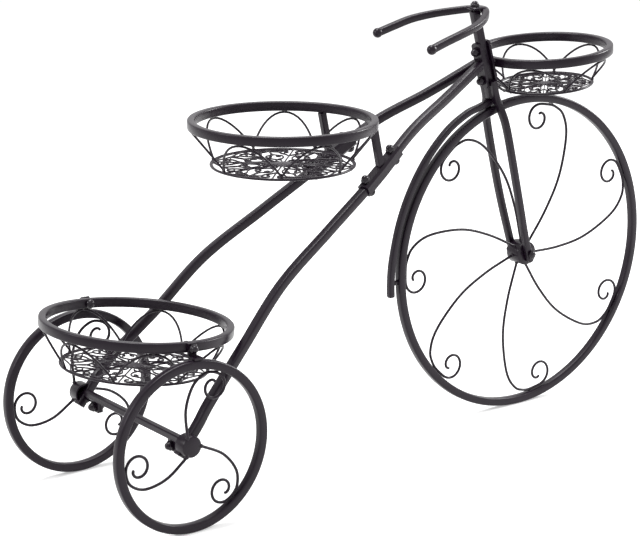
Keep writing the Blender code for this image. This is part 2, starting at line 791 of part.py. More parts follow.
def fork_and_stem(stand):
    """The stem and the two fork legs, welded into one piece, leaning back from the front axle."""
    upright = Vector((1, 0, 0))
    section = square_section(STEM_TUBE, STEM_TUBE, STEM_TUBE_CORNER)
    ends = [fork_point(stem_bottom()), fork_point(stem_top())]
    stem = sweep("fork_stem", ends, section, upright, stand)
    leg_section = square_section(FORK_LEG_WIDTH, FORK_LEG_WIDTH, FORK_LEG_CORNER)
    shoulder = STEM_TUBE / 2 + FORK_LEG_WIDTH / 2 - SEAT
    hip = (shoulder + FORK_SPREAD) / 2
    ankle = FORK_SPREAD - FORK_DROPOUT_PINCH
    waist = FRONT_WHEEL_RADIUS - FORK_WAIST_DROP
    for side, label in SIDES:
        rows = (
            (stem_bottom() + FORK_LEG_LAP, shoulder, 0.0),
            (stem_bottom(), shoulder, 0.0),
            (FRONT_WHEEL_RADIUS - FORK_SHOULDER_DROP, hip, 0.0),
            (waist, FORK_SPREAD, 0.0),
            (waist / 2, FORK_SPREAD, FORK_BOW),
            (FORK_DROPOUT * 2, ankle, FORK_BOW),
            (-FORK_DROPOUT, ankle, 0.0),
        )
        points = []
        for along, out, back in rows:
            point = fork_point(along, back)
            point.y = out * side
            points.append(point)
        leg = sweep(f"{label}_leg", smooth_path(points, 2), leg_section, upright, stand)
        cut(stem, leg, "UNION")
    axis = Vector((0, 1, 0))
    outer = ankle + FORK_LEG_WIDTH / 2
    axle = fork_point(0)
    drill("front_axle_hole", [stem], axle, axis, outer * 2, AXLE_BOLT_RADIUS + SEAT, stand)
    profile = axle_bolt_profile(outer * 2 + SEAT * 2)
    pin = turn_profile("front_axle_bolt", profile, BOLT_STEPS, stand, bolt=True)
    pin.matrix_local = aim(axis, axle - axis * (outer + SEAT))
    return stem


def plate(name, along, back, thickness, length, width, stand):
    """A plate with cut corners that lies on the stem, its middle at a place on the fork line."""
    corner = HEAD_PLATE_CORNER
    outline = square_section(width, length, corner)
    bm = bmesh.new()
    face = bm.faces.new([bm.verts.new((-thickness / 2, u, v)) for u, v in outline])
    grown = bmesh.ops.extrude_face_region(bm, geom=[face])
    moved = [item for item in grown["geom"] if isinstance(item, bmesh.types.BMVert)]
    bmesh.ops.translate(bm, vec=(thickness, 0, 0), verts=moved)
    piece = finish_mesh(name, bm, stand)
    lean = Matrix.Rotation(math.radians(-FORK_LEAN), 4, "Y")
    piece.matrix_local = Matrix.Translation(fork_point(along, back)) @ lean
    return piece


def steering_head(stand, stem):
    """The head plate behind the stem, the basket bracket in front of it and their two bolts."""
    thickness = HEAD_PLATE_THICKNESS
    back = STEM_TUBE / 2 + SEAT + thickness / 2
    size = (thickness, HEAD_PLATE_LENGTH, HEAD_PLATE_WIDTH)
    rear = plate("head_plate", head_middle(), back, *size, stand)
    front = plate("front_basket_bracket", head_middle(), -back, *size, stand)
    lean = math.radians(FORK_LEAN)
    axis = Vector((-math.cos(lean), 0, -math.sin(lean)))
    grip = STEM_TUBE + thickness * 2 + SEAT * 2
    for number, way in ((1, 1), (2, -1)):
        along = head_middle() + way * HEAD_BOLT_SPACING / 2
        hole = BOLT_RADIUS + SEAT
        drill(
            f"head_hole_{number}",
            [stem, rear, front],
            fork_point(along),
            axis,
            grip,
            hole,
            stand,
        )
        start = fork_point(along) - axis * grip / 2
        dome_bolt(f"head_bolt_{number}", start, axis, grip, stand)
    return front


def head_plate_cutter(stand):
    """The room that the head plate, the stem and what is ahead of them take from the tubes."""
    back = STEM_TUBE / 2 + SEAT * 2 + HEAD_PLATE_THICKNESS
    depth = FRAME_TUBE * 4
    room = plate(
        "head_room",
        head_middle(),
        back - depth / 2,
        depth,
        HEAD_PLATE_LENGTH * 2,
        HEAD_PLATE_WIDTH * 4,
        stand,
    )
    return as_cutter(room)


def handlebar_room():
    """The height of the handlebar's cap above the middle of the stem's top."""
    tilt = math.sin(math.radians(FORK_LEAN)) + math.sin(math.radians(HANDLEBAR_ROLL))
    return SEAT + STEM_TUBE / 2 * tilt


def handlebar(stand):
    """A flat hairpin bar around the stem's top, with a ball on each end and a cap over the stem."""
    top = fork_point(stem_top())
    room = handlebar_room()
    roll = Matrix.Rotation(math.radians(HANDLEBAR_ROLL), 4, "X")
    holder = empty("handlebar_mount", (top.x, 0, top.z + room), stand, roll)
    lean = math.radians(FORK_LEAN)
    under = HANDLEBAR_TUBE - HANDLEBAR_CAP_SINK - room
    front = STEM_TUBE / 2 / math.cos(lean) + under * math.tan(lean) + HANDLEBAR_TUBE / 2
    front += HANDLEBAR_BEND_ROOM
    z = HANDLEBAR_CAP_SINK - HANDLEBAR_TUBE / 2
    shares = zip(HANDLEBAR_REACH_SHARES, HANDLEBAR_SPREAD_SHARES, HANDLEBAR_DROP_SHARES)
    half = []
    for reach_share, spread_share, drop_share in shares:
        x = front - HANDLEBAR_REACH * reach_share
        y = HANDLEBAR_SPREAD * spread_share
        half.append(Vector((x, y, z - HANDLEBAR_DROP * drop_share)))
    points = [Vector((p.x, -p.y, p.z)) for p in half] + half[-2::-1]
    path = smooth_path(points, 2)
    section = square_section(HANDLEBAR_TUBE, HANDLEBAR_TUBE, HANDLEBAR_CORNER)
    bar = sweep("handlebar", path, section, Vector((0, 0, 1)), holder)
    for end, label in ((path[0], "right"), (path[-1], "left")):
        radius = HANDLEBAR_BALL_RADIUS
        arc = [math.pi * k / BALL_RINGS - math.pi / 2 for k in range(BALL_RINGS + 1)]
        profile = [(radius * math.cos(a), radius * math.sin(a)) for a in arc]
        profile[0] = (0, -radius)
        profile[-1] = (0, radius)
        ball = turn_profile(f"{label}_ball", profile, BOLT_STEPS, holder)
        ball.matrix_local = Matrix.Translation(end)
        cut(bar, ball, "UNION")
    side = HANDLEBAR_CAP_WIDTH / 2
    cap_low = (front - HANDLEBAR_CAP_LENGTH, -side, 0)
    cap_high = (front, side, HANDLEBAR_CAP_THICKNESS)
    cut(bar, block("handlebar_cap", cap_low, cap_high, holder), "UNION")
    return holder, bar


def handlebar_bolt(holder, bar, stem):
    """The upright bolt that clamps the handlebar's cap to the top of the stem."""
    shank = BOLT_RADIUS
    deep = handlebar_room() + HANDLEBAR_BOLT_DEPTH
    seat = HANDLEBAR_CAP_THICKNESS + SEAT
    nut = DOME_NUT_RADIUS
    rise = HANDLEBAR_NUT_HEIGHT
    profile = [
        (0, -deep),
        (shank, -deep),
        (shank, seat),
        (nut, seat),
        (nut, seat + rise * NUT_EDGE_SHARE),
        (nut * NUT_CROWN_SHARES[0], seat + rise * NUT_CROWN_SHARES[1]),
        (0, seat + rise),
    ]
    turn_profile("handlebar_bolt", profile, BOLT_STEPS, holder, bolt=True)
    hole = shank + SEAT
    bottom = -deep - SEAT
    high = HANDLEBAR_CAP_THICKNESS + OVERRUN
    bore = [(0, bottom), (hole, bottom), (hole, high), (0, high)]
    bit = turn_profile("handlebar_hole", bore, BOLT_STEPS, holder)
    cut(bar, bit)
    cut(stem, bit)


def mudguard(stand):
    """The bar over the back of the front wheel, pinned to the rim near its lower end."""
    span = MUDGUARD_END_ANGLE - MUDGUARD_START_ANGLE
    points = []
    for turn_share, gap_share in zip(MUDGUARD_TURN_SHARES, MUDGUARD_GAP_SHARES):
        radius = FRONT_WHEEL_RADIUS + MUDGUARD_GAP * gap_share + MUDGUARD_BAR / 2
        angle = math.radians(MUDGUARD_START_ANGLE + span * turn_share)
        x = WHEELBASE + radius * math.cos(angle)
        points.append(Vector((x, 0, FRONT_WHEEL_RADIUS + radius * math.sin(angle))))
    path = smooth_path(points, MUDGUARD_STEPS)
    section = square_section(MUDGUARD_BAR, MUDGUARD_BAR, MUDGUARD_CORNER)
    bar = sweep("mudguard_bar", path, section, Vector((0, 1, 0)), stand)
    angle = math.radians(MUDGUARD_PIN_ANGLE)
    way = Vector((math.cos(angle), 0, math.sin(angle)))
    length = MUDGUARD_GAP * MUDGUARD_GAP_SHARES[-2] - SEAT * 3
    pin = MUDGUARD_PIN_RADIUS
    profile = [(0, 0), (pin, 0), (pin, length), (0, length)]
    spacer = turn_profile("mudguard_spacer", profile, BOLT_STEPS, stand, bolt=True)
    start = Vector((WHEELBASE, 0, FRONT_WHEEL_RADIUS)) + way * (FRONT_WHEEL_RADIUS + SEAT)
    spacer.matrix_local = aim(way, start)
    return bar


# Baskets

def petal(inner, outer, angle, width):
    """One opening of the floor's flower, as points on a plane."""
    middle = (inner + outer) / 2
    half = (outer - inner) / 2
    points = []
    for k in range(PETAL_POINTS):
        turn = math.tau * k / PETAL_POINTS
        out = middle + half * math.cos(turn)
        side = width / 2 * math.sin(turn)
        points.append(
            (
                out * math.cos(angle) - side * math.sin(angle),
                out * math.sin(angle) + side * math.cos(angle),
            )
        )
    return points


def basket_floor(name, radius, parent):
    """A pierced round floor: a flower of openings in two bands, inside a plain rim."""
    bm = bmesh.new()
    loops = []
    steps = FLOOR_RIM_STEPS
    loops.append(
        [
            (radius * math.cos(math.tau * k / steps), radius * math.sin(math.tau * k / steps))
            for k in range(steps)
        ]
    )
    field = radius - FLOOR_RIM_WIDTH
    for band in range(len(PETAL_BAND_SHARES) - 1):
        inner = field * PETAL_BAND_SHARES[band] + PETAL_BAR_WIDTH / 2
        outer = field * PETAL_BAND_SHARES[band + 1] - PETAL_BAR_WIDTH / 2
        count = PETAL_COUNT * (band + 1)
        middle = (inner + outer) / 2
        width = math.tau * middle / count - PETAL_BAR_WIDTH * PETAL_BAR_SHARE
        for k in range(count):
            angle = math.tau * (k + (band % 2) / 2) / count
            loops.append(petal(inner, outer, angle, width))
    edges = []
    for loop in loops:
        verts = [bm.verts.new((x, y, -FLOOR_THICKNESS / 2)) for x, y in loop]
        edges += [bm.edges.new(pair) for pair in zip(verts, verts[1:] + verts[:1])]
    bmesh.ops.triangle_fill(bm, use_beauty=True, use_dissolve=False, edges=edges)
    grown = bmesh.ops.extrude_face_region(bm, geom=list(bm.faces))
    moved = [item for item in grown["geom"] if isinstance(item, bmesh.types.BMVert)]
    bmesh.ops.translate(bm, vec=(0, 0, FLOOR_THICKNESS), verts=moved)
    return finish_mesh(name, bm, parent)


def basket(label, holder, radius, floor_radius, height, arches, first_arch):
    """A pot basket: a flat-bar ring, a wreath of wire arches and a pierced floor.

    The holder's origin is the middle of the ring's top.
    """
    section = square_section(RING_THICKNESS, RING_HEIGHT, RING_CORNER)
    middle = radius - RING_THICKNESS / 2
    profile = [(middle + u, v - RING_HEIGHT / 2) for u, v in section]
    ring = turn_profile(f"{label}_basket_ring", profile, RING_STEPS, holder, closed=True)

    wire = BASKET_WIRE_RADIUS
    top = -RING_HEIGHT - SEAT - wire
    bottom = -height + FLOOR_THICKNESS / 2 + SEAT + wire
    foot_radius = floor_radius - wire
    path = []
    for arch in range(arches):
        for k in range(ARCH_POINTS):
            share = (1 - math.cos(math.pi * k / ARCH_POINTS)) / 2
            angle = math.radians(first_arch) + math.tau * (arch + share) / arches
            rise = math.sin(math.pi * share) ** ARCH_FULLNESS_SHARE
            out = foot_radius + (middle - foot_radius) * rise
            z = bottom + (top - bottom) * rise
            path.append(Vector((out * math.cos(angle), out * math.sin(angle), z)))
    bm = bmesh.new()
    add_wave(bm, path, round_section(wire, BASKET_WIRE_SIDES))
    finish_mesh(f"{label}_basket_arches", bm, holder)

    floor = basket_floor(f"{label}_basket_floor", floor_radius, holder)
    floor.location = (0, 0, -height)
    return ring


def add_wave(bm, path, section):
    """Adds a closed wire whose section is kept square to its run and to the basket's wall."""
    count = len(path)
    rings = []
    for i, point in enumerate(path):
        along = (path[(i + 1) % count] - path[i - 1]).normalized()
        outward = Vector((point.x, point.y, 0)).normalized()
        across = along.cross(outward).normalized()
        up = across.cross(along)
        rings.append([bm.verts.new(point + across * u + up * v) for u, v in section])
    size = len(section)
    for i in range(count):
        first = rings[i]
        second = rings[(i + 1) % count]
        for k in range(size):
            m = (k + 1) % size
            bm.faces.new((first[k], first[m], second[m], second[k]))


def middle_basket(stand, sides):
    """The basket over the frame, carried by a strut on each sleeve."""
    path, middle, outside = sides["left"]
    foot, along = point_along(path, middle)
    foot_top = foot.z + outside / 2 / along.xy.length
    radius = BASKET_RADIUS - RING_THICKNESS / 2
    strut_top = Vector((foot.x - STRUT_LEAN, foot.y, foot_top + MIDDLE_BASKET_RISE))
    centre_x = strut_top.x - math.sqrt(radius ** 2 - foot.y ** 2)
    place = (centre_x, 0, strut_top.z + RING_HEIGHT)
    holder = empty("middle_basket", place, stand)
    sizes = (BASKET_RADIUS, BASKET_FLOOR_RADIUS, BASKET_HEIGHT)
    basket("middle", holder, *sizes, ARCH_COUNT, MIDDLE_ARCH_ANGLE)
    section = square_section(STRUT_BAR, STRUT_BAR, STRUT_CORNER)
    for side, label in SIDES:
        low = Vector((foot.x, foot.y * side, foot.z))
        high = Vector((strut_top.x, foot.y * side, strut_top.z - SEAT))
        strut = sweep(f"{label}_basket_strut", [low, high], section, Vector((1, 0, 0)), stand)
        flat = block(
            f"{label}_strut_trim",
            (high.x - STRUT_BAR, high.y - STRUT_BAR, high.z),
            (high.x + STRUT_BAR, high.y + STRUT_BAR, high.z + STRUT_BAR),
            stand,
        )
        cut(strut, flat)
        route = sides[label][0]
        room = outside + SEAT * 2
        run = part_of(route, middle - SLEEVE_LENGTH / 2, middle + SLEEVE_LENGTH / 2, SLEEVE_STEPS)
        under = square_section(room, room, FRAME_TUBE_CORNER)
        cut(strut, sweep(f"{label}_strut_seat", run, under, Vector((0, 0, 1)), stand))


def rear_basket(stand):
    """The basket over the rear wheels, bolted to a bracket on each rim."""
    rim_top = REAR_WHEEL_RADIUS * 2
    bolt_z = rim_top + REAR_BRACKET_RISE - RING_HEIGHT / 2
    turn = Matrix.Rotation(math.radians(REAR_BASKET_TILT), 4, "Y")
    pivot = empty("rear_basket", (REAR_BASKET_SHIFT, 0, bolt_z), stand, turn)
    holder = empty("rear_basket_ring_top", (0, 0, RING_HEIGHT / 2), pivot)
    sizes = (BASKET_RADIUS, BASKET_FLOOR_RADIUS, BASKET_HEIGHT)
    ring = basket("rear", holder, *sizes, ARCH_COUNT, REAR_ARCH_ANGLE)
    thickness = REAR_BRACKET_THICKNESS
    inner = BASKET_RADIUS + SEAT
    for side, label in SIDES:
        x = REAR_BASKET_SHIFT - REAR_BRACKET_WIDTH / 2
        low_z = rim_top + SEAT
        outline = [
            (inner, low_z),
            (inner + REAR_BRACKET_FOOT, low_z),
            (inner + REAR_BRACKET_FOOT, low_z + thickness),
            (inner + thickness, low_z + thickness),
            (inner + thickness, low_z + REAR_BRACKET_RISE),
            (inner, low_z + REAR_BRACKET_RISE),
        ]
        outline = [(y * side, z) for y, z in outline]
        bracket = prism(f"{label}_basket_bracket", outline, x, REAR_BRACKET_WIDTH, stand)
        axis = Vector((0, side, 0))
        grip = RING_THICKNESS + SEAT * 2 + thickness
        start = Vector((REAR_BASKET_SHIFT, side * (BASKET_RADIUS - RING_THICKNESS - SEAT), bolt_z))
        hole = BOLT_RADIUS + SEAT
        middle = start + axis * grip / 2
        drill(f"{label}_basket_hole", [ring, bracket], middle, axis, grip, hole, stand)
        dome_bolt(f"{label}_basket_bolt", start, axis, grip, stand)


def front_basket(stand, bracket):
    """The smaller basket ahead of the stem, held by its bracket and a stay to its floor."""
    tilt = math.radians(FRONT_BASKET_TILT)
    back = -(STEM_TUBE / 2 + SEAT + HEAD_PLATE_THICKNESS)
    along = head_middle() - FRONT_BASKET_HEAD_DROP
    weld = fork_point(along, back)
    ring_back = Vector((weld.x + FRONT_BASKET_GAP, 0, weld.z))
    centre = ring_back + Vector((math.cos(tilt), 0, -math.sin(tilt))) * FRONT_BASKET_RADIUS
    turn = Matrix.Rotation(tilt, 4, "Y")
    pivot = empty("front_basket", centre, stand, turn)
    holder = empty("front_basket_ring_top", (0, 0, RING_HEIGHT / 2), pivot)
    basket(
        "front",
        holder,
        FRONT_BASKET_RADIUS,
        FRONT_BASKET_FLOOR_RADIUS,
        FRONT_BASKET_HEIGHT,
        FRONT_ARCH_COUNT,
        FRONT_ARCH_ANGLE,
    )
    depth = HEAD_PLATE_THICKNESS / 2 + FRONT_BASKET_GAP + RING_THICKNESS
    tab = plate(
        "basket_tab",
        along,
        back + HEAD_PLATE_THICKNESS / 2 - depth / 2,
        depth,
        BASKET_TAB_HEIGHT,
        BASKET_TAB_WIDTH,
        stand,
    )
    cut(bracket, tab, "UNION")
    room = turn_profile(
        "ring_room",
        [
            (0, -RING_HEIGHT),
            (FRONT_BASKET_RADIUS + SEAT, -RING_HEIGHT),
            (FRONT_BASKET_RADIUS + SEAT, RING_HEIGHT),
            (0, RING_HEIGHT),
        ],
        RING_STEPS * 2,
        stand,
    )
    room.matrix_local = Matrix.Translation(centre) @ turn
    cut(bracket, room)

    out = STAY_SPREAD
    clear = SEAT + BASKET_WIRE_RADIUS
    foot_along = head_middle() - HEAD_PLATE_LENGTH / 2 + clear
    edge = math.sqrt((FRONT_BASKET_FLOOR_RADIUS + clear) ** 2 - out ** 2)
    drop = RING_HEIGHT / 2 - FRONT_BASKET_HEIGHT
    knee = fork_point(foot_along, back - clear)
    wire = [
        Matrix.Translation(centre) @ turn @ Vector((-edge, -out, drop)),
        Vector((knee.x, -out, knee.z)),
        Vector((knee.x, out, knee.z)),
        Matrix.Translation(centre) @ turn @ Vector((-edge, out, drop)),
    ]
    section = round_section(BASKET_WIRE_RADIUS, BASKET_WIRE_SIDES)
    sweep("front_basket_stay", wire, section, Vector((0, 0, 1)), stand)


def build():
    """Builds the whole stand."""
    clear_scene()
    front_end = WHEELBASE + FRONT_WHEEL_RADIUS
    back_end = BASKET_RADIUS * math.cos(math.radians(REAR_BASKET_TILT)) - REAR_BASKET_SHIFT
    stand = empty("stand", ((back_end - front_end) / 2, 0, 0))
    front_wheel(stand)
    angles = {"right": NEAR_SPOKE_ANGLES, "left": FAR_SPOKE_ANGLES}
    cutter = head_plate_cutter(stand)
    sides = {}
    lowers = {}
    for side, label in SIDES:
        hub = rear_wheel(stand, side, label, angles[label])
        path, middle, outside, lower = frame_side(stand, side, label, hub, cutter)
        sides[label] = (path, middle, outside)
        lowers[label] = lower
    cross_bar(stand, lowers)
    stem = fork_and_stem(stand)
    bracket = steering_head(stand, stem)
    holder, bar = handlebar(stand)
    handlebar_bolt(holder, bar, stem)
    mudguard(stand)
    rear_basket(stand)
    middle_basket(stand, sides)
    front_basket(stand, bracket)
    bpy.context.view_layer.update()


build()
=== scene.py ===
"""Looks of the plant stand in the shape of a tricycle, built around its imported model.

It draws powder-coated square tube, round wire, three baskets for pots and a white studio.
Lengths are in metres, and angles in degrees unless a comment says otherwise. Pieces are drawn
with the rear axle at x = 0, and to_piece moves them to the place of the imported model.
"""

from __future__ import annotations

import logging
import math
import sys
from dataclasses import dataclass
from enum import Enum
from typing import Sequence

import bmesh
import bpy
import numpy as np
from bmesh.types import BMesh, BMVert
from mathutils import Matrix, Vector

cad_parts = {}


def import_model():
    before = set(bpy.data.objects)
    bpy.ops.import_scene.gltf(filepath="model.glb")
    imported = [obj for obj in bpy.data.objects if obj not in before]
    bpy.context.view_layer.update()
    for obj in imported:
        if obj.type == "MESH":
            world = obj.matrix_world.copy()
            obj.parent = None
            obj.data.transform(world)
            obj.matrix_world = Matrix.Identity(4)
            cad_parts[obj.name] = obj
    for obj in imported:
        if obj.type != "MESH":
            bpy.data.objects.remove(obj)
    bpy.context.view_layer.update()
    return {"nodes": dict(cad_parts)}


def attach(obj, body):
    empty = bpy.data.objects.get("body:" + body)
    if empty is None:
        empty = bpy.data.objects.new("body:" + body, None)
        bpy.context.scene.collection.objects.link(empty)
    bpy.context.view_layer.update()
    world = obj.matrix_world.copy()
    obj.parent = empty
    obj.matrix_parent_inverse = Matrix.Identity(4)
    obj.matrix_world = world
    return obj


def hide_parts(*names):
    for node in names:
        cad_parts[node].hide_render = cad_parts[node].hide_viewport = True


LOG = logging.getLogger("plant_stand")

BODY = "root"

UP = Vector((0.0, 0.0, 1.0))
ALONG_X = Vector((1.0, 0.0, 0.0))
ALONG_Y = Vector((0.0, 1.0, 0.0))

# Sizes that several sub-assemblies share
REAR_AXLE_X = -0.3212704
SEAT = 0.0003
WHEELBASE = 0.5484
FRONT_WHEEL_RADIUS = 0.190
FRAME_TUBE = 0.0100
STEM_TUBE = 0.0100
TUBE_CORNER = 0.0019
POT_RING_RADIUS = 0.1031
RING_THICKNESS = 0.0082
RING_HEIGHT = 0.0105
REAR_BASKET_X = 0.0068
REAR_BASKET_Z = 0.19505
LUG_OFFSET = 0.0765
LUG_THICKNESS = 0.0030

# Edges that turn by more than this stay sharp
SHARP_ANGLE = 42.0
BOLT_SHARP_ANGLE = 30.0
LATTICE_SHARP_ANGLE = 50.0
MERGE_DISTANCE = 1e-7
LEAST_SQUARE = 1e-12

Section = list[tuple[float, float]]
Loop = Sequence[BMVert]
Row = tuple[float, Sequence[float]]
Triple = tuple[float, float, float]


class Slot(Enum):
    """The record's material slots."""

    COAT = "charcoal_coat"
    BOLT = "bolt_black"


class Side(Enum):
    """A side of the stand, with the sign of its Y."""

    RIGHT = -1
    LEFT = 1

    @property
    def label(self) -> str:
        """The side's name, as the CAD nodes have it."""
        return self.name.lower()


# Finishes


@dataclass(frozen=True)
class Finish:
    """A painted metal surface with a fine grain and faint mottling.

    The grain is a bump of tiny grains in the paint, and the mottling a slow change of tone.
    """

    name: str
    slot: Slot
    dark: Triple
    light: Triple
    roughness: float
    grain_scale: float
    grain_depth: float
    specular: float
    coat: float = 0.0
    roughness_swing: float = 0.08
    coat_roughness: float = 0.35
    mottle_scale: float = 55.0
    mottle_detail: float = 3.0
    grain_detail: float = 4.0
    grain_roughness: float = 0.6
    bump_strength: float = 0.6

    def material(self) -> bpy.types.Material:
        """Makes the node material of this finish, or gives the one that exists.

        Returns:
            The material.
        """
        known = bpy.data.materials.get(self.name)
        if known is not None:
            return known
        material = bpy.data.materials.new(self.name)
        material.use_nodes = True
        nodes = material.node_tree.nodes
        link = material.node_tree.links.new
        shader = nodes["Principled BSDF"]
        shader.inputs["Specular IOR Level"].default_value = self.specular
        shader.inputs["Coat Weight"].default_value = self.coat
        shader.inputs["Coat Roughness"].default_value = self.coat_roughness
        place = nodes.new("ShaderNodeTexCoord")
        mottle = nodes.new("ShaderNodeTexNoise")
        mottle.inputs["Scale"].default_value = self.mottle_scale
        mottle.inputs["Detail"].default_value = self.mottle_detail
        tone = nodes.new("ShaderNodeMix")
        tone.data_type = "RGBA"
        tone.inputs["A"].default_value = (*self.dark, 1.0)
        tone.inputs["B"].default_value = (*self.light, 1.0)
        gloss = nodes.new("ShaderNodeMapRange")
        gloss.inputs["To Min"].default_value = self.roughness - self.roughness_swing
        gloss.inputs["To Max"].default_value = self.roughness + self.roughness_swing
        grain = nodes.new("ShaderNodeTexNoise")
        grain.inputs["Scale"].default_value = self.grain_scale
        grain.inputs["Detail"].default_value = self.grain_detail
        grain.inputs["Roughness"].default_value = self.grain_roughness
        bump = nodes.new("ShaderNodeBump")
        bump.inputs["Strength"].default_value = self.bump_strength
        bump.inputs["Distance"].default_value = self.grain_depth
        link(place.outputs["Object"], mottle.inputs["Vector"])
        link(place.outputs["Object"], grain.inputs["Vector"])
        link(mottle.outputs["Fac"], tone.inputs["Factor"])
        link(tone.outputs["Result"], shader.inputs["Base Color"])
        link(grain.outputs["Fac"], gloss.inputs["Value"])
        link(gloss.outputs["Result"], shader.inputs["Roughness"])
        link(grain.outputs["Fac"], bump.inputs["Height"])
        link(bump.outputs["Normal"], shader.inputs["Normal"])
        return material


POWDER_COAT = Finish(
    name="charcoal_powder_coat",
    slot=Slot.COAT,
    dark=(0.0055, 0.0020, 0.0065),
    light=(0.0120, 0.0060, 0.0135),
    roughness=0.30,
    grain_scale=1400.0,
    grain_depth=0.00005,
    specular=0.26,
)
WELD_COAT = Finish(
    name="coat_over_weld",
    slot=Slot.COAT,
    dark=(0.0078, 0.0042, 0.0086),
    light=(0.0158, 0.0100, 0.0170),
    roughness=0.52,
    roughness_swing=0.12,
    grain_scale=620.0,
    grain_depth=0.00022,
    specular=0.34,
)
BOLT_BLACK = Finish(
    name="black_bolt_finish",
    slot=Slot.BOLT,
    dark=(0.0045, 0.0020, 0.0052),
    light=(0.0120, 0.0062, 0.0135),
    roughness=0.24,
    grain_scale=900.0,
    grain_depth=0.00004,
    specular=0.30,
    coat=0.10,
)


# Outlines and paths


def rounded_section(width: float, height: float, corner: float, arc_steps: int = 3) -> Section:
    """The outline of a square bar with rounded corners.

    Args:
        width: Size across.
        height: Size up.
        corner: Corner radius.
        arc_steps: Steps in each corner's arc.

    Returns:
        Points (across, up), anticlockwise.
    """
    outline = []
    centres = ((1, 1), (-1, 1), (-1, -1), (1, -1))
    for quarter, (right, up) in enumerate(centres):
        for k in range(arc_steps + 1):
            angle = math.pi / 2 * (quarter + k / arc_steps)
            u = right * (width / 2 - corner) + corner * math.cos(angle)
            v = up * (height / 2 - corner) + corner * math.sin(angle)
            outline.append((u, v))
    return outline


def round_section(radius: float, sides: int = 12) -> Section:
    """The outline of a round wire."""
    turns = [math.tau * k / sides for k in range(sides)]
    return [(radius * math.cos(turn), radius * math.sin(turn)) for turn in turns]


def smooth_path(points: Sequence[Vector], steps: int) -> list[Vector]:
    """A smooth curve through the points.

    Args:
        points: The points to pass through.
        steps: Steps between neighbours.

    Returns:
        The points of the curve.
    """
    run = [points[0] * 2 - points[1], *points, points[-1] * 2 - points[-2]]
    path = []
    for i in range(1, len(run) - 2):
        before, start, stop, after = run[i - 1:i + 3]
        for k in range(steps):
            t = k / steps
            straight = (stop - before) * t
            bend = (before * 2 - start * 5 + stop * 4 - after) * t * t
            twist = (start * 3 - before - stop * 3 + after) * t * t * t
            path.append(start + (straight + bend + twist) / 2)
    path.append(points[-1].copy())
    return path


def length_of(path: Sequence[Vector]) -> float:
    """The length of a path."""
    return sum((b - a).length for a, b in zip(path, path[1:]))


def point_along(path: Sequence[Vector], distance: float) -> tuple[Vector, Vector]:
    """The place and the direction at a distance from a path's start.

    Args:
        path: The path.
        distance: The distance, which stops at the path's end.

    Returns:
        The point, and the direction of the path there.
    """
    left = distance
    for a, b in zip(path, path[1:]):
        step = (b - a).length
        if left <= step:
            return a.lerp(b, left / step), (b - a).normalized()
        left -= step
    return path[-1].copy(), (path[-1] - path[-2]).normalized()


def part_of(path: Sequence[Vector], start: float, stop: float, steps: int) -> list[Vector]:
    """An even run of points between two distances along a path."""
    return [point_along(path, start + (stop - start) * k / steps)[0] for k in range(steps + 1)]


def rounded_path(
    path: Sequence[Vector],
    middle: float,
    reach: float,
    steps: int = 32,
    passes: int = 20,
) -> list[Vector]:
    """A path made rounder around one place along it.

    Args:
        path: The path.
        middle: Distance of the place from the path's start.
        reach: How far before and after the place the path may change.
        steps: Even steps that the changed run gets.
        passes: How many times its points are drawn towards their neighbours.

    Returns:
        The new path's points.
    """
    start, stop = middle - reach, middle + reach
    run = part_of(path, start, stop, steps)
    for _ in range(passes):
        eased = list(run)
        for i in range(1, steps):
            place = i * 2 / steps - 1
            between = (run[i - 1] + run[i + 1]) / 2
            eased[i] = run[i].lerp(between, (1 - place * place) / 2)
        run = eased
    before, after = [], []
    distance = 0.0
    for i, point in enumerate(path):
        distance += (point - path[i - 1]).length if i else 0.0
        if distance < start:
            before.append(point)
        elif distance > stop:
            after.append(point)
    return before + run + after


def aim(axis: Vector, place: Vector) -> Matrix:
    """A matrix that puts the local Z axis along a direction, at a place."""
    return Matrix.Translation(place) @ axis.to_track_quat("Z", "Y").to_matrix().to_4x4()


# Shapes


def skin(bm: BMesh, first: Loop, second: Loop) -> None:
    """Joins two loops of the same length with faces.

    Args:
        bm: The mesh that the loops are in.
        first: One loop.
        second: The next loop.
    """
    size = len(first)
    for k in range(size):
        m = (k + 1) % size
        bm.faces.new((first[k], first[m], second[m], second[k]))


def add_loops(bm: BMesh, loops: Sequence[Loop], closed: bool) -> None:
    """Skins a row of loops of the same length, and caps its ends unless it closes.

    Args:
        bm: The mesh that the loops are in.
        loops: The loops, in order.
        closed: Whether the last loop joins the first.
    """
    for first, second in zip(loops, loops[1:]):
        skin(bm, first, second)
    if closed:
        skin(bm, loops[-1], loops[0])
    else:
        bm.faces.new(loops[0])
        bm.faces.new(loops[-1])


def add_bar(
    bm: BMesh,
    path: Sequence[Vector],
    section: Section,
    upright: Vector,
    closed: bool = False,
    scales: Sequence[tuple[float, float]] | None = None,
) -> list[list[BMVert]]:
    """Adds a bar along a path.

    Args:
        bm: The mesh to add to.
        path: The bar's middle line.
        section: The bar's outline.
        upright: The direction that the section's up side keeps to.
        closed: Whether the path is a loop.
        scales: A scale of the section at each point, across and up.

    Returns:
        The loops of vertices, one for each point.
    """
    count = len(path)
    loops = []
    for i, point in enumerate(path):
        if closed:
            along = path[(i + 1) % count] - path[i - 1]
        else:
            along = path[min(i + 1, count - 1)] - path[max(i - 1, 0)]
        along.normalize()
        across = along.cross(upright).normalized()
        up = across.cross(along)
        wide, high = scales[i] if scales else (1.0, 1.0)
        loop = [point + across * u * wide + up * v * high for u, v in section]
        loops.append([bm.verts.new(corner) for corner in loop])
    add_loops(bm, loops, closed)
    return loops


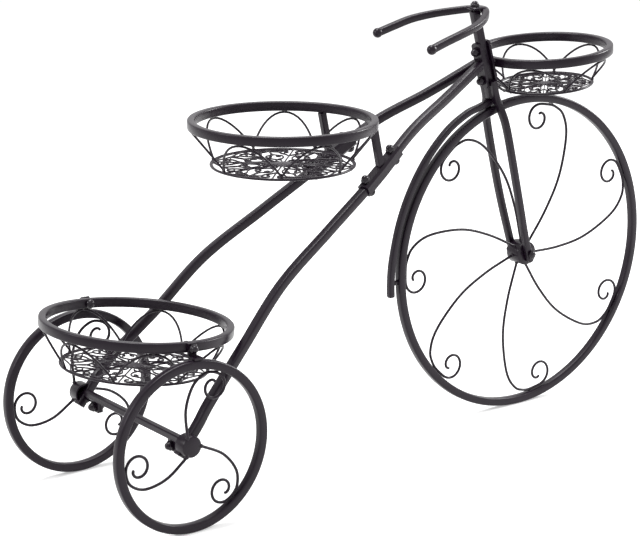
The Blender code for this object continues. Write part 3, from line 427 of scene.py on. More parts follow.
def add_turned(bm: BMesh, rows: Sequence[Row], place: Matrix) -> None:
    """Adds a closed turned shape from rows of radii, with a pole at each end.

    Args:
        bm: The mesh to add to.
        rows: Each row's height and its radii round the turn; the first and last are poles.
        place: Where the turn's Z axis lies.
    """
    steps = len(rows[1][1])
    loops = []
    for height, radii in rows[1:-1]:
        loop = []
        for k, radius in enumerate(radii):
            turn = math.tau * k / steps
            point = Vector((radius * math.cos(turn), radius * math.sin(turn), height))
            loop.append(bm.verts.new(place @ point))
        loops.append(loop)
    for first, second in zip(loops, loops[1:]):
        skin(bm, first, second)
    for pole_row, loop in ((rows[0], loops[0]), (rows[-1], loops[-1])):
        pole = bm.verts.new(place @ Vector((0, 0, pole_row[0])))
        for k in range(steps):
            bm.faces.new((pole, loop[k], loop[(k + 1) % steps]))


def round_row(height: float, radius: float, steps: int) -> Row:
    """A row of a turned shape with one radius."""
    return (height, [radius] * steps)


def hex_row(height: float, radius: float, steps: int) -> Row:
    """A row of a turned shape in the form of a hexagon.

    Args:
        height: The row's height.
        radius: Radius of the hexagon's corners.
        steps: Steps round the turn.

    Returns:
        The row.
    """
    flat = radius * math.cos(math.pi / 6)
    radii = []
    for k in range(steps):
        turn = (math.tau * k / steps) % (math.pi / 3) - math.pi / 6
        radii.append(flat / math.cos(turn))
    return (height, radii)


def dome_angles(steps: int) -> list[float]:
    """The angles between a dome's foot and its top, in radians, without the two ends."""
    return [math.pi / 2 * k / steps for k in range(1, steps)]


def add_ring(bm: BMesh, profile: Section, steps: int, place: Matrix) -> None:
    """Adds a ring turned from a closed profile of (radius, height).

    Args:
        bm: The mesh to add to.
        profile: The closed outline.
        steps: Steps round the ring.
        place: Where the ring's Z axis lies.
    """
    loops = []
    for i in range(steps):
        turn = math.tau * i / steps
        cosine, sine = math.cos(turn), math.sin(turn)
        corners = [Vector((r * cosine, r * sine, z)) for r, z in profile]
        loops.append([bm.verts.new(place @ corner) for corner in corners])
    add_loops(bm, loops, True)


def add_block(
    bm: BMesh,
    low: Vector,
    high: Vector,
    corner: float,
    place: Matrix,
    ease_share: float = 0.25,
    arc_steps: int = 4,
) -> None:
    """Adds a plate or block with rounded upright edges and eased rims.

    Args:
        bm: The mesh to add to.
        low: Its lowest corner.
        high: Its highest corner.
        corner: Radius of the upright edges.
        place: Where the block's frame lies.
        ease_share: The rims' easing, as a share of the corner or the block's height.
        arc_steps: Steps in each rounded edge.
    """
    middle = (low + high) / 2
    size = high - low
    ease = min(size.z, corner) * ease_share
    rims = ((ease, low.z), (0.0, low.z + ease), (0.0, high.z - ease), (ease, high.z))
    loops = []
    for inset, height in rims:
        outline = rounded_section(size.x - inset * 2, size.y - inset * 2, corner, arc_steps)
        corners = [Vector((middle.x + u, middle.y + v, height)) for u, v in outline]
        loops.append([bm.verts.new(place @ point) for point in corners])
    add_loops(bm, loops, False)


def add_plate(bm: BMesh, outline: Section, start: float, thickness: float) -> None:
    """Adds a flat plate across the X axis.

    Args:
        bm: The mesh to add to.
        outline: Its outline, as (y, z).
        start: The x of its near face.
        thickness: Its thickness.
    """
    loops = [[bm.verts.new((x, y, z)) for y, z in outline] for x in (start, start + thickness)]
    add_loops(bm, loops, False)


# Welds: a bead swells by ripples of (size, pace, lead) along it, and a tack by one ripple
BEAD_BASE = 0.82
BEAD_RIPPLES = ((0.22, 2.1, 0.0), (0.08, 0.9, 1.0))
BEAD_END = 0.35
BEAD_SIDES = 8
BEAD_STEEP = 0.8
TACK_RINGS = 6
TACK_SIDES = 10
TACK_RIPPLE = 0.06
TACK_PACE = 2.3


def add_bead(bm: BMesh, path: Sequence[Vector], radius: float, closed: bool = False) -> None:
    """Adds a weld bead: a thick line that swells and thins in ripples.

    Args:
        bm: The mesh to add to.
        path: The bead's middle line.
        radius: Its usual radius.
        closed: Whether it runs all the way round.
    """
    scales = []
    for k in range(len(path)):
        swell = BEAD_BASE
        for size, pace, lead in BEAD_RIPPLES:
            swell += size * math.sin(k * pace + lead)
        scales.append((swell, swell))
    if not closed:
        scales[0] = scales[-1] = (BEAD_END, BEAD_END)
    direction = (path[len(path) // 2] - path[0]).normalized()
    upright = UP if abs(direction.z) < BEAD_STEEP else ALONG_X
    add_bar(bm, path, round_section(radius, BEAD_SIDES), upright, closed, scales)


def add_tack(bm: BMesh, middle: Vector, size: Triple) -> None:
    """Adds a small tack weld in the shape of an egg.

    Args:
        bm: The mesh to add to.
        middle: Its middle.
        size: Its half sizes along X, Y and Z.
    """
    rows = []
    for k in range(TACK_RINGS + 1):
        angle = math.pi * k / TACK_RINGS - math.pi / 2
        ripple = 1 + TACK_RIPPLE * math.sin(k * TACK_PACE)
        rows.append(round_row(math.sin(angle), math.cos(angle) * ripple, TACK_SIDES))
    add_turned(bm, rows, Matrix.Translation(middle) @ Matrix.Diagonal((*size, 1.0)))


# Pieces


def to_piece(
    name: str,
    bm: BMesh,
    finish: Finish,
    replaced: Sequence[str] = (),
    sharp_angle: float = SHARP_ANGLE,
) -> bpy.types.Object:
    """Makes a shown piece of a mesh, drawn with the rear axle at x = 0.

    Args:
        name: The piece's name.
        bm: Its mesh, which is freed.
        finish: Its finish.
        replaced: The CAD nodes that it stands for.
        sharp_angle: Edges that turn by more than this stay sharp.

    Returns:
        The piece.
    """
    bmesh.ops.remove_doubles(bm, verts=bm.verts, dist=MERGE_DISTANCE)
    bmesh.ops.recalc_face_normals(bm, faces=bm.faces)
    bmesh.ops.translate(bm, vec=(REAR_AXLE_X, 0, 0), verts=bm.verts)
    mesh = bpy.data.meshes.new(name)
    bm.to_mesh(mesh)
    bm.free()
    mesh.shade_smooth()
    mesh.set_sharp_from_angle(angle=math.radians(sharp_angle))
    mesh.materials.append(finish.material())
    piece = bpy.data.objects.new(name, mesh)
    bpy.context.scene.collection.objects.link(piece)
    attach(piece, BODY)
    if replaced:
        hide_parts(*replaced)
    LOG.info("%s: %d faces", name, len(mesh.polygons))
    return piece


def notch_out(piece: bpy.types.Object, tool: BMesh) -> None:
    """Cuts a shape, drawn with the rear axle at x = 0, out of a piece.

    Args:
        piece: The piece.
        tool: The shape to cut out, which is freed.
    """
    bmesh.ops.recalc_face_normals(tool, faces=tool.faces)
    bmesh.ops.translate(tool, vec=(REAR_AXLE_X, 0, 0), verts=tool.verts)
    mesh = bpy.data.meshes.new(f"{piece.name}_notch")
    tool.to_mesh(mesh)
    tool.free()
    cutter = bpy.data.objects.new(mesh.name, mesh)
    bpy.context.scene.collection.objects.link(cutter)
    step = piece.modifiers.new("notch", "BOOLEAN")
    step.operation = "DIFFERENCE"
    step.solver = "EXACT"
    step.object = cutter
    graph = bpy.context.evaluated_depsgraph_get()
    cut = bpy.data.meshes.new_from_object(piece.evaluated_get(graph), depsgraph=graph)
    piece.modifiers.clear()
    piece.data = cut
    bpy.data.objects.remove(cutter, do_unlink=True)


@dataclass(frozen=True)
class CadNodes:
    """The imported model's nodes, of which some stay in view and are dressed where they are."""

    objects: dict[str, bpy.types.Object]
    edge_angle: float = 38.0
    segments: int = 2

    def dress(self, name: str, finish: Finish, ease: float) -> None:
        """Gives a node its finish and eased edges.

        Args:
            name: The node's name.
            finish: Its finish.
            ease: The width that its edges are eased by.
        """
        node = self.objects[name]
        for held in node.material_slots:
            held.material = finish.material()
        for face in node.data.polygons:
            face.use_smooth = True
        step = node.modifiers.new("eased_edges", "BEVEL")
        step.width = ease
        step.segments = self.segments
        step.limit_method = "ANGLE"
        step.angle_limit = math.radians(self.edge_angle)
        step.harden_normals = True
        LOG.info("%s: CAD node with %s", name, finish.name)


# Fasteners


@dataclass(frozen=True)
class DomeBolt:
    """A bolt with a low domed head, and a hexagonal nut with a dome and a washer.

    The nut's rows are (share of its height, share of its radius), from the washer upwards, and
    the shoulder's radius is a share of the hexagon's flats.
    """

    shank: float = 0.0020
    head_radius: float = 0.0052
    head_height: float = 0.0054
    nut_radius: float = 0.0054
    nut_height: float = 0.0075
    edge_share: float = 0.97
    washer_rows: tuple[tuple[float, float], ...] = ((0.02, 1.0), (0.08, 1.0))
    hexagon_rows: tuple[tuple[float, float], ...] = ((0.09, 0.93), (0.13, 0.985), (0.44, 0.985))
    shoulder_rows: tuple[tuple[float, float], ...] = ((0.50, 0.95), (0.53, 0.86))
    steps: int = 36
    dome_steps: int = 6

    def nut_rows(self, seat: float) -> list[Row]:
        """The nut's rows from its seat upwards, with a washer under it.

        Args:
            seat: The height of its seat.

        Returns:
            The rows, of which the last is the pole.
        """
        radius, rise, steps = self.nut_radius, self.nut_height, self.steps
        flat = radius * math.cos(math.pi / 6)
        rows = [round_row(seat, radius * self.edge_share, steps)]
        for up, out in self.washer_rows:
            rows.append(round_row(seat + rise * up, radius * out, steps))
        for up, out in self.hexagon_rows:
            rows.append(hex_row(seat + rise * up, radius * out, steps))
        for up, out in self.shoulder_rows:
            rows.append(round_row(seat + rise * up, flat * out, steps))
        foot, width = self.shoulder_rows[-1]
        for angle in dome_angles(self.dome_steps):
            height = seat + rise * (foot + (1 - foot) * math.sin(angle))
            rows.append(round_row(height, flat * width * math.cos(angle), steps))
        rows.append((seat + rise, ()))
        return rows

    def head_rows(self) -> list[Row]:
        """The head's rows, from its top, below zero, to its underside.

        Returns:
            The rows, of which the first is the pole.
        """
        edge = SEAT * 2
        rows: list[Row] = [(-self.head_height, ())]
        for angle in dome_angles(self.dome_steps):
            height = -edge - (self.head_height - edge) * math.cos(angle)
            rows.append(round_row(height, self.head_radius * math.sin(angle), self.steps))
        rows.append(round_row(-edge, self.head_radius, self.steps))
        rows.append(round_row(-SEAT, self.head_radius * self.edge_share, self.steps))
        return rows

    def shank_rows(self, low: float, high: float) -> list[Row]:
        """The shank's two rows."""
        return [round_row(height, self.shank, self.steps) for height in (low, high)]

    def make(self, node: str, start: Vector, axis: Vector, grip: float) -> None:
        """Makes the bolt that stands for a CAD node.

        Args:
            node: The node.
            start: Where the head seats.
            axis: The direction from the head to the nut.
            grip: The length between head and nut.
        """
        shank = self.shank_rows(-SEAT, grip + SEAT)
        rows = self.head_rows() + shank + self.nut_rows(grip + SEAT)
        self.turn(f"{node}_dressed", node, rows, aim(axis, start))

    def make_stud(self, node: str, bottom: float, seat: float, place: Matrix) -> None:
        """Makes a stud with a nut on its top, which stands for a CAD node.

        Args:
            node: The node.
            bottom: The stud's lower end.
            seat: Where the nut sits.
            place: Where the stud's Z axis lies.
        """
        rows = [(bottom, ()), *self.shank_rows(bottom, seat), *self.nut_rows(seat)]
        self.turn(f"{node}_dressed", node, rows, place)

    def make_pair(self, name: str, node: str, seat: float, place: Matrix) -> None:
        """Makes a stud with a nut on each end.

        Args:
            name: The piece's name.
            node: The CAD node that it stands for.
            seat: How far from the middle each nut sits.
            place: Where the stud's middle and its Z axis lie.
        """
        upper = self.nut_rows(seat)
        lower = [(-height, radii) for height, radii in reversed(upper)]
        self.turn(name, node, lower + self.shank_rows(-seat, seat) + upper, place)

    def turn(self, name: str, node: str, rows: Sequence[Row], place: Matrix) -> None:
        """Makes a piece of a bolt's rows.

        Args:
            name: The piece's name.
            node: The CAD node that it stands for.
            rows: The rows, from pole to pole.
            place: Where the bolt's Z axis lies.
        """
        bm = bmesh.new()
        add_turned(bm, rows, place)
        to_piece(name, bm, BOLT_BLACK, [node], BOLT_SHARP_ANGLE)


# Wheels

HUB_STEPS = 64
CHAMFER_SHARE = 0.3


@dataclass(frozen=True)
class Wheel:
    """A wheel of square-tube rim and scroll spokes, in the XZ plane through its centre.

    The route is rows of (share of the spoke's reach, angle behind its curl), from the hub out.
    """

    label: str
    centre: Vector
    radius: float
    hub_radius: float
    angles: tuple[float, ...]
    route: tuple[tuple[float, float], ...]
    curl: float
    curl_fall: float
    sense: int
    rim_tube: float = 0.0097
    rim_corner: float = 0.0020
    rim_steps: int = 160
    wire: float = 0.0016
    wire_tip: float = 0.55
    route_steps: int = 8
    curl_turn: float = 372.0
    curl_end: float = 0.97
    curl_points: int = 54
    join_share: float = 0.6
    join_reach: float = 1.5
    foot_weld: Triple = (0.0024, 0.0022, 0.0024)
    touch_length: float = 0.0052
    touch_radius: float = 0.0009
    touch_share: float = 0.9
    touch_steps: int = 6
    seam_turn: float = 24.0
    seam_radius: float = 0.00055
    seam_sink: float = 0.0004

    def build(self) -> None:
        """Builds the rim, the spokes and their welds."""
        self.make_rim()
        welds = bmesh.new()
        for number, angle in enumerate(self.angles, 1):
            self.make_spoke(number, angle, welds)
        self.add_rim_seam(welds)
        to_piece(f"{self.label}_welds", welds, WELD_COAT)

    def axle(self) -> Matrix:
        """The matrix whose Z axis is the wheel's axle."""
        return Matrix.Translation(self.centre) @ Matrix.Rotation(math.radians(90), 4, "X")

    def make_rim(self) -> None:
        """Builds the rim."""
        middle = self.radius - self.rim_tube / 2
        section = rounded_section(self.rim_tube, self.rim_tube, self.rim_corner)
        bm = bmesh.new()
        add_ring(bm, [(middle + u, v) for u, v in section], self.rim_steps, self.axle())
        to_piece(f"{self.label}_rim_tube", bm, POWDER_COAT, [f"{self.label}_rim"])

    def polar(self, radius: float, angle: float) -> Vector:
        """A point about the wheel's centre, at an angle behind the curl."""
        turn = math.radians(angle) * self.sense
        return Vector((radius * math.sin(turn), 0, radius * math.cos(turn)))

    def spoke_path(self, start: float) -> list[Vector]:
        """The spoke's route with its curl straight up from the hub.

        Args:
            start: Distance from the axle at which the spoke starts.

        Returns:
            Points about the wheel's centre.
        """
        reach = self.radius - self.rim_tube - SEAT - self.wire
        points = [self.polar(start, self.route[0][1])]
        points += [self.polar(reach * share, angle) for share, angle in self.route[1:]]
        path = smooth_path(points, self.route_steps)
        join = length_of(path) + reach * math.radians(self.route[-1][1]) * self.join_share
        middle = Vector((0, 0, reach - self.curl))
        for k in range(1, self.curl_points + 1):
            share = self.curl_end * k / self.curl_points
            radius = self.curl * (1 - share) ** self.curl_fall
            angle = math.radians(self.curl_turn * share)
            way = Vector((-math.sin(angle) * self.sense, 0, math.cos(angle)))
            path.append(middle + way * radius)
        return rounded_path(path, join, self.curl * self.join_reach)

    def distance(self, point: Vector) -> float:
        """How far a point is from the wheel's centre."""
        return (point - self.centre).length

    def make_spoke(self, number: int, angle: float, welds: BMesh) -> None:
        """Builds one spoke and adds its tack welds.

        Args:
            number: The spoke's number.
            angle: Where its curl lies, from +X towards +Z.
            welds: The mesh that takes the welds.
        """
        place = Matrix.Translation(self.centre)
        turn = place @ Matrix.Rotation(math.radians(90 - angle), 4, "Y")
        path = [turn @ point for point in self.spoke_path(self.hub_radius + SEAT)]
        scales = [(1.0, 1.0)] * len(path)
        scales[-1] = (self.wire_tip, self.wire_tip)
        bm = bmesh.new()
        add_bar(bm, path, round_section(self.wire), ALONG_Y, False, scales)
        node = f"{self.label}_spoke_{number}"
        to_piece(f"{node}_wire", bm, POWDER_COAT, [node])
        foot = self.centre + (path[0] - self.centre).normalized() * self.hub_radius
        add_tack(welds, foot, self.foot_weld)
        outward = (max(path, key=self.distance) - self.centre).normalized()
        touch = self.centre + outward * (self.radius - self.rim_tube)
        along = outward.cross(ALONG_Y)
        for side in Side:
            shift = ALONG_Y * side.value * self.wire * self.touch_share
            run = []
            for k in range(self.touch_steps + 1):
                step = self.touch_length * (k / self.touch_steps - 0.5)
                run.append(touch + shift + along * step)
            add_bead(welds, run, self.touch_radius)

    def add_rim_seam(self, welds: BMesh) -> None:
        """Adds the butt weld that closes the rim.

        Args:
            welds: The mesh that takes the weld.
        """
        angle = math.radians(self.angles[0] + self.seam_turn)
        outward = Vector((math.cos(angle), 0, math.sin(angle)))
        middle = self.centre + outward * (self.radius - self.rim_tube / 2)
        size = self.rim_tube - self.seam_sink * 2
        outline = rounded_section(size, size, self.rim_corner)
        path = [middle + outward * u + ALONG_Y * v for u, v in outline]
        add_bead(welds, path, self.seam_radius, True)


@dataclass(frozen=True)
class FrontWheel:
    """The large front wheel, its drum and its axle bolt."""

    wheelbase: float = WHEELBASE
    radius: float = FRONT_WHEEL_RADIUS
    rim_steps: int = 240
    angles: tuple[float, ...] = (134.0, 82.5, 29.0, -27.0, -77.5, -131.0, -177.0)
    route: tuple[tuple[float, float], ...] = (
        (0.0, 40.0),
        (0.334, 31.5),
        (0.579, 26.5),
        (0.834, 19.2),
        (0.957, 13.2),
        (1.0, 7.0),
    )
    curl: float = 0.0168
    curl_fall: float = 0.42
    drum_radius: float = 0.0141
    drum_half: float = 0.0103
    drum_ease: float = 0.0011
    bore: float = 0.0033
    nut_seat: float = 0.0187
    bolt: DomeBolt = DomeBolt(shank=0.0030, nut_radius=0.0056, nut_height=0.0040)

    def build(self) -> None:
        """Builds the wheel."""
        wheel = Wheel(
            label="front_wheel",
            centre=Vector((self.wheelbase, 0, self.radius)),
            radius=self.radius,
            hub_radius=self.drum_radius,
            angles=self.angles,
            route=self.route,
            curl=self.curl,
            curl_fall=self.curl_fall,
            sense=1,
            rim_steps=self.rim_steps,
        )
        wheel.build()
        self.make_drum(wheel)
        self.make_axle_bolt(wheel)

    def make_drum(self, wheel: Wheel) -> None:
        """Builds the hub drum, with eased ends.

        Args:
            wheel: The wheel that it is in.
        """
        low, high, half, ease = self.bore, self.drum_radius, self.drum_half, self.drum_ease
        chamfer = ease * CHAMFER_SHARE
        profile = [
            (low, -half),
            (high - ease, -half),
            (high - chamfer, -half + chamfer),
            (high, -half + ease),
            (high, half - ease),
            (high - chamfer, half - chamfer),
            (high - ease, half),
            (low, half),
        ]
        bm = bmesh.new()
        add_ring(bm, profile, HUB_STEPS, wheel.axle())
        to_piece("front_wheel_drum", bm, POWDER_COAT, ["front_wheel_hub"])

    def make_axle_bolt(self, wheel: Wheel) -> None:
        """Builds the axle bolt with a dome nut on each side of the fork."""
        place = aim(ALONG_Y, wheel.centre)
        self.bolt.make_pair("front_axle_nuts", "front_axle_bolt", self.nut_seat, place)


@dataclass(frozen=True)
class RearWheels:
    """The two small rear wheels and their cup-shaped hubs."""

    radius: float = 0.0924
    offset: float = 0.11255
    right_angles: tuple[float, ...] = (65.5, -56.0, -172.0)
    left_angles: tuple[float, ...] = (65.5, -45.0, -177.0)
    route: tuple[tuple[float, float], ...] = (
        (0.0, 50.0),
        (0.511, 34.0),
        (0.810, 22.5),
        (0.968, 11.5),
        (1.0, 4.5),
    )
    curl: float = 0.0148
    curl_fall: float = 0.34
    cup_radius: float = 0.0115
    cup_length: float = 0.0150
    overhang: float = 0.0010
    wall: float = 0.0020
    ease: float = 0.0009

    def build(self, tails: dict[Side, list[Vector]]) -> None:
        """Builds both wheels.

        Args:
            tails: The last run of each side's frame tube, which the cups are notched for.
        """
        for side in Side:
            centre = Vector((0, side.value * self.offset, self.radius))
            self.make_cup(side, centre, tails[side])
            wheel = Wheel(
                label=f"{side.label}_rear_wheel",
                centre=centre,
                radius=self.radius,
                hub_radius=self.cup_radius,
                angles=self.right_angles if side is Side.RIGHT else self.left_angles,
                route=self.route,
                curl=self.curl,
                curl_fall=self.curl_fall,
                sense=-1,
            )
            wheel.build()

    def make_cup(self, side: Side, centre: Vector, tail: list[Vector]) -> None:
        """Builds a hub: a shallow cup with its mouth towards the frame, notched for the tube.

        Args:
            side: Which side.
            centre: The wheel's centre.
            tail: The middle line of the tube's end.
        """
        high, low = self.cup_radius, self.cup_radius - self.wall
        end, mouth = self.overhang, self.overhang - self.cup_length
        lip = self.ease / 2
        chamfer = self.ease * CHAMFER_SHARE
        profile = (
            (end, high - self.ease),
            (end - chamfer, high - chamfer),
            (end - self.ease, high),
            (mouth + lip, high),
            (mouth, high - lip),
            (mouth, low + lip),
            (mouth + lip, low),
            (end - self.wall, low),
        )
        rows = [round_row(height, radius, HUB_STEPS) for height, radius in profile]
        bm = bmesh.new()
        axis = Vector((0, side.value, 0))
        add_turned(bm, [(end, ()), *rows, (end - self.wall, ())], aim(axis, centre))
        node = f"{side.label}_rear_wheel_hub"
        cup = to_piece(f"{node}_cup", bm, POWDER_COAT, [node])
        notch = bmesh.new()
        size = FRAME_TUBE + SEAT * 2
        add_bar(notch, tail, rounded_section(size, size, TUBE_CORNER), UP)
        notch_out(cup, notch)


# Baskets


@dataclass(frozen=True)
class Stroke:
    """One line of the floor's lattice.

    Its knots are (share of the radius, angle, half width as a share of the radius), and it has
    as many steps as this between two knots.
    """

    knots: tuple[Triple, ...]
    steps: int = 5

    def run(self) -> list[Vector]:
        """The line as a smooth curve.

        Returns:
            Its points, as (x, y, half width).
        """
        points = []
        for share, degrees, width in self.knots:
            angle = math.radians(degrees)
            points.append(Vector((share * math.cos(angle), share * math.sin(angle), width)))
        return smooth_path(points, self.steps)


SPOKE_LINE = Stroke(
    ((0.10, 0.0, 0.015), (0.22, 0.0, 0.010), (0.62, 0.0, 0.009), (0.98, 0.0, 0.011)), 2
)
PETAL_LINE = Stroke(
    ((0.12, 22.5, 0.012), (0.19, 13.0, 0.009), (0.26, 14.0, 0.009), (0.31, 22.5, 0.010))
)
HEART_LINE = Stroke(
    (
        (0.31, 22.5, 0.010),
        (0.36, 12.5, 0.010),
        (0.45, 8.0, 0.011),
        (0.54, 9.5, 0.010),
        (0.58, 14.5, 0.009),
        (0.55, 18.5, 0.009),
        (0.50, 17.5, 0.009),
        (0.49, 13.5, 0.011),
    )
)
CURL_LINE = Stroke(
    (
        (0.55, 0.0, 0.009),
        (0.64, 5.5, 0.010),
        (0.72, 11.0, 0.011),
        (0.80, 12.2, 0.011),
        (0.86, 8.5, 0.010),
        (0.84, 4.2, 0.009),
        (0.78, 4.0, 0.009),
        (0.76, 7.2, 0.011),
    )
)
LEAF_LINE = Stroke(
    ((0.60, 22.5, 0.007), (0.69, 22.5, 0.018), (0.79, 22.5, 0.008), (0.87, 22.5, 0.009)), 2
)
BRIDGE_LINE = Stroke(((0.58, 14.5, 0.008), (0.61, 18.5, 0.008), (0.65, 22.5, 0.008)))
SCALLOP_LINE = Stroke(
    ((0.98, 0.0, 0.009), (0.94, 6.5, 0.009), (0.89, 14.5, 0.009), (0.87, 22.5, 0.009))
)
BRACE_LINE = Stroke(((0.80, 12.2, 0.008), (0.82, 18.0, 0.008), (0.87, 22.5, 0.008)))


@dataclass(frozen=True)
class LatticePattern:
    """The pierced flower lattice of a basket's floor, in shares of its radius.

    The strokes are drawn in a wedge of 22.5 degrees and mirrored round, so it has eight petals.
    """

    strokes: tuple[Stroke, ...] = (
        SPOKE_LINE,
        PETAL_LINE,
        HEART_LINE,
        CURL_LINE,
        LEAF_LINE,
        BRIDGE_LINE,
        SCALLOP_LINE,
        BRACE_LINE,
    )
    cells: int = 250
    span: float = 1.01
    wedge: float = math.pi / 8
    disc: float = 0.13
    band: float = 0.981
    band_half: float = 0.012
    edge: float = 0.991

    def field(self) -> tuple[np.ndarray, np.ndarray]:
        """Distance to the lattice's edge on a square grid, below zero inside.

        Returns:
            The grid's coordinates along one side, and the distances, in shares of the radius.
        """
        span = np.linspace(-self.span, self.span, self.cells + 1)
        x, y = np.meshgrid(span, span)
        radius = np.hypot(x, y)
        turn = np.mod(np.arctan2(y, x), self.wedge * 2)
        turn = np.where(turn > self.wedge, self.wedge * 2 - turn, turn)
        point = np.stack([radius * np.cos(turn), radius * np.sin(turn)], -1)
        band = np.abs(radius - self.band) - self.band_half
        distance = np.minimum(band, radius - self.disc)
        for stroke in self.strokes:
            run = stroke.run()
            for image in (run, self.mirrored(run, 0.0), self.mirrored(run, self.wedge)):
                for first, second in zip(image, image[1:]):
                    distance = np.minimum(distance, self.gap(point, first, second))
        return span, np.maximum(distance, radius - self.edge)

    def gap(self, point: np.ndarray, first: Vector, second: Vector) -> np.ndarray:
        """Distance from the grid's points to the edge of one straight bit of a line.

        Args:
            point: The grid's points, folded into the wedge.
            first: One end, as (x, y, half width).
            second: The other end.

        Returns:
            The distances, below zero inside the bit.
        """
        start = np.array(first[:2])
        way = np.array(second[:2]) - start
        share = ((point - start) @ way / max(float(way @ way), LEAST_SQUARE)).clip(0, 1)
        off = np.hypot(*np.moveaxis(point - start - share[..., None] * way, -1, 0))
        return off - (first[2] + (second[2] - first[2]) * share)

    def mirrored(self, run: Sequence[Vector], axis: float) -> list[Vector]:
        """The mirror image of a line in one side of the wedge.

        Args:
            run: The line's points.
            axis: The angle of the wedge's side, in radians.

        Returns:
            The image's points.
        """
        image = []
        for point in run:
            turn = 2 * axis - math.atan2(point.y, point.x)
            radius = math.hypot(point.x, point.y)
            image.append(Vector((radius * math.cos(turn), radius * math.sin(turn), point.z)))
        return image


class LatticePlate:
    """Turns a lattice pattern into a stamped plate with rounded upper edges.

    It keeps the plate's points as (x, y, depth inside the pattern), its cells' outlines and the
    walls of its openings, all in shares of the radius.
    """

    EDGE_MARGIN = 0.08
    EDGE_ROUND = 0.0011
    EDGE_HEIGHT = 0.12
    CROWN_HEIGHT = 0.38
    BOSS_RISE = 0.0004

    def __init__(self, pattern: LatticePattern) -> None:
        """Draws the pattern once, for plates of any size.

        Args:
            pattern: The pattern.
        """
        self.span, self.distance = pattern.field()
        self.boss_share = pattern.disc
        self.points: list[Triple] = []
        self.faces: list[list[int]] = []
        self.walls: list[tuple[int, int]] = []
        self.known: dict[tuple[int, int, int], int] = {}
        cells = range(len(self.span) - 1)
        for j in cells:
            for i in cells:
                self.trace_cell(((j, i), (j, i + 1), (j + 1, i + 1), (j + 1, i)))

    def corner(self, place: tuple[int, int]) -> int:
        """The number of the plate's point on a grid point.

        Args:
            place: The grid point, as (row, column).

        Returns:
            The point's number.
        """
        key = (0, *place)
        if key not in self.known:
            self.known[key] = len(self.points)
            j, i = place
            self.points.append((self.span[i], self.span[j], -float(self.distance[place])))
        return self.known[key]

    def crossing(self, here: tuple[int, int], there: tuple[int, int]) -> int:
        """The number of the plate's point where the pattern's edge crosses a grid line.

        Args:
            here: One grid point.
            there: Its neighbour, on the other side of the edge.

        Returns:
            The point's number.
        """
        first, second = sorted((here, there))
        key = (1 if first[0] == second[0] else 2, *first)
        if key not in self.known:
            a, b = self.distance[first], self.distance[second]
            share = min(max(a / (a - b), self.EDGE_MARGIN), 1 - self.EDGE_MARGIN)
            span = self.span
            x = span[first[1]] + (span[second[1]] - span[first[1]]) * share
            y = span[first[0]] + (span[second[0]] - span[first[0]]) * share
            self.known[key] = len(self.points)
            self.points.append((x, y, 0.0))
        return self.known[key]

    def trace_cell(self, ring: tuple[tuple[int, int], ...]) -> None:
        """Adds what a cell of the grid holds of the plate, cut along the pattern's edge.

        Args:
            ring: The cell's four grid points, in order.
        """
        inside = [self.distance[place] < 0 for place in ring]
        if not any(inside):
            return
        outline: list[int] = []
        edge: list[bool] = []
        for k, place in enumerate(ring):
            m = (k + 1) % len(ring)
            if inside[k]:
                outline.append(self.corner(place))
                edge.append(False)
            if inside[k] != inside[m]:
                outline.append(self.crossing(place, ring[m]))
                edge.append(True)
        self.faces.append(outline)
        for k, number in enumerate(outline):
            m = (k + 1) % len(outline)
            if edge[k] and edge[m]:
                self.walls.append((number, outline[m]))

    def add(self, bm: BMesh, radius: float, thickness: float, place: Matrix) -> None:
        """Adds the plate.

        Args:
            bm: The mesh to add to.
            radius: The plate's radius.
            thickness: Its thickness.
            place: Where its middle and its Z axis lie.
        """
        top, bottom = [], []
        for x, y, depth in self.points:
            swell = min(depth * radius / self.EDGE_ROUND, 1.0)
            crown = self.CROWN_HEIGHT * math.sin(swell * math.pi / 2)
            height = thickness * (self.EDGE_HEIGHT + crown)
            height += self.BOSS_RISE * max(0.0, 1 - (x * x + y * y) / self.boss_share ** 2)
            top.append(bm.verts.new(place @ Vector((x * radius, y * radius, height))))
            bottom.append(bm.verts.new(place @ Vector((x * radius, y * radius, -thickness / 2))))
        for outline in self.faces:
            bm.faces.new([top[k] for k in outline])
            bm.faces.new([bottom[k] for k in reversed(outline)])
        for a, b in self.walls:
            bm.faces.new((top[b], top[a], bottom[a], bottom[b]))


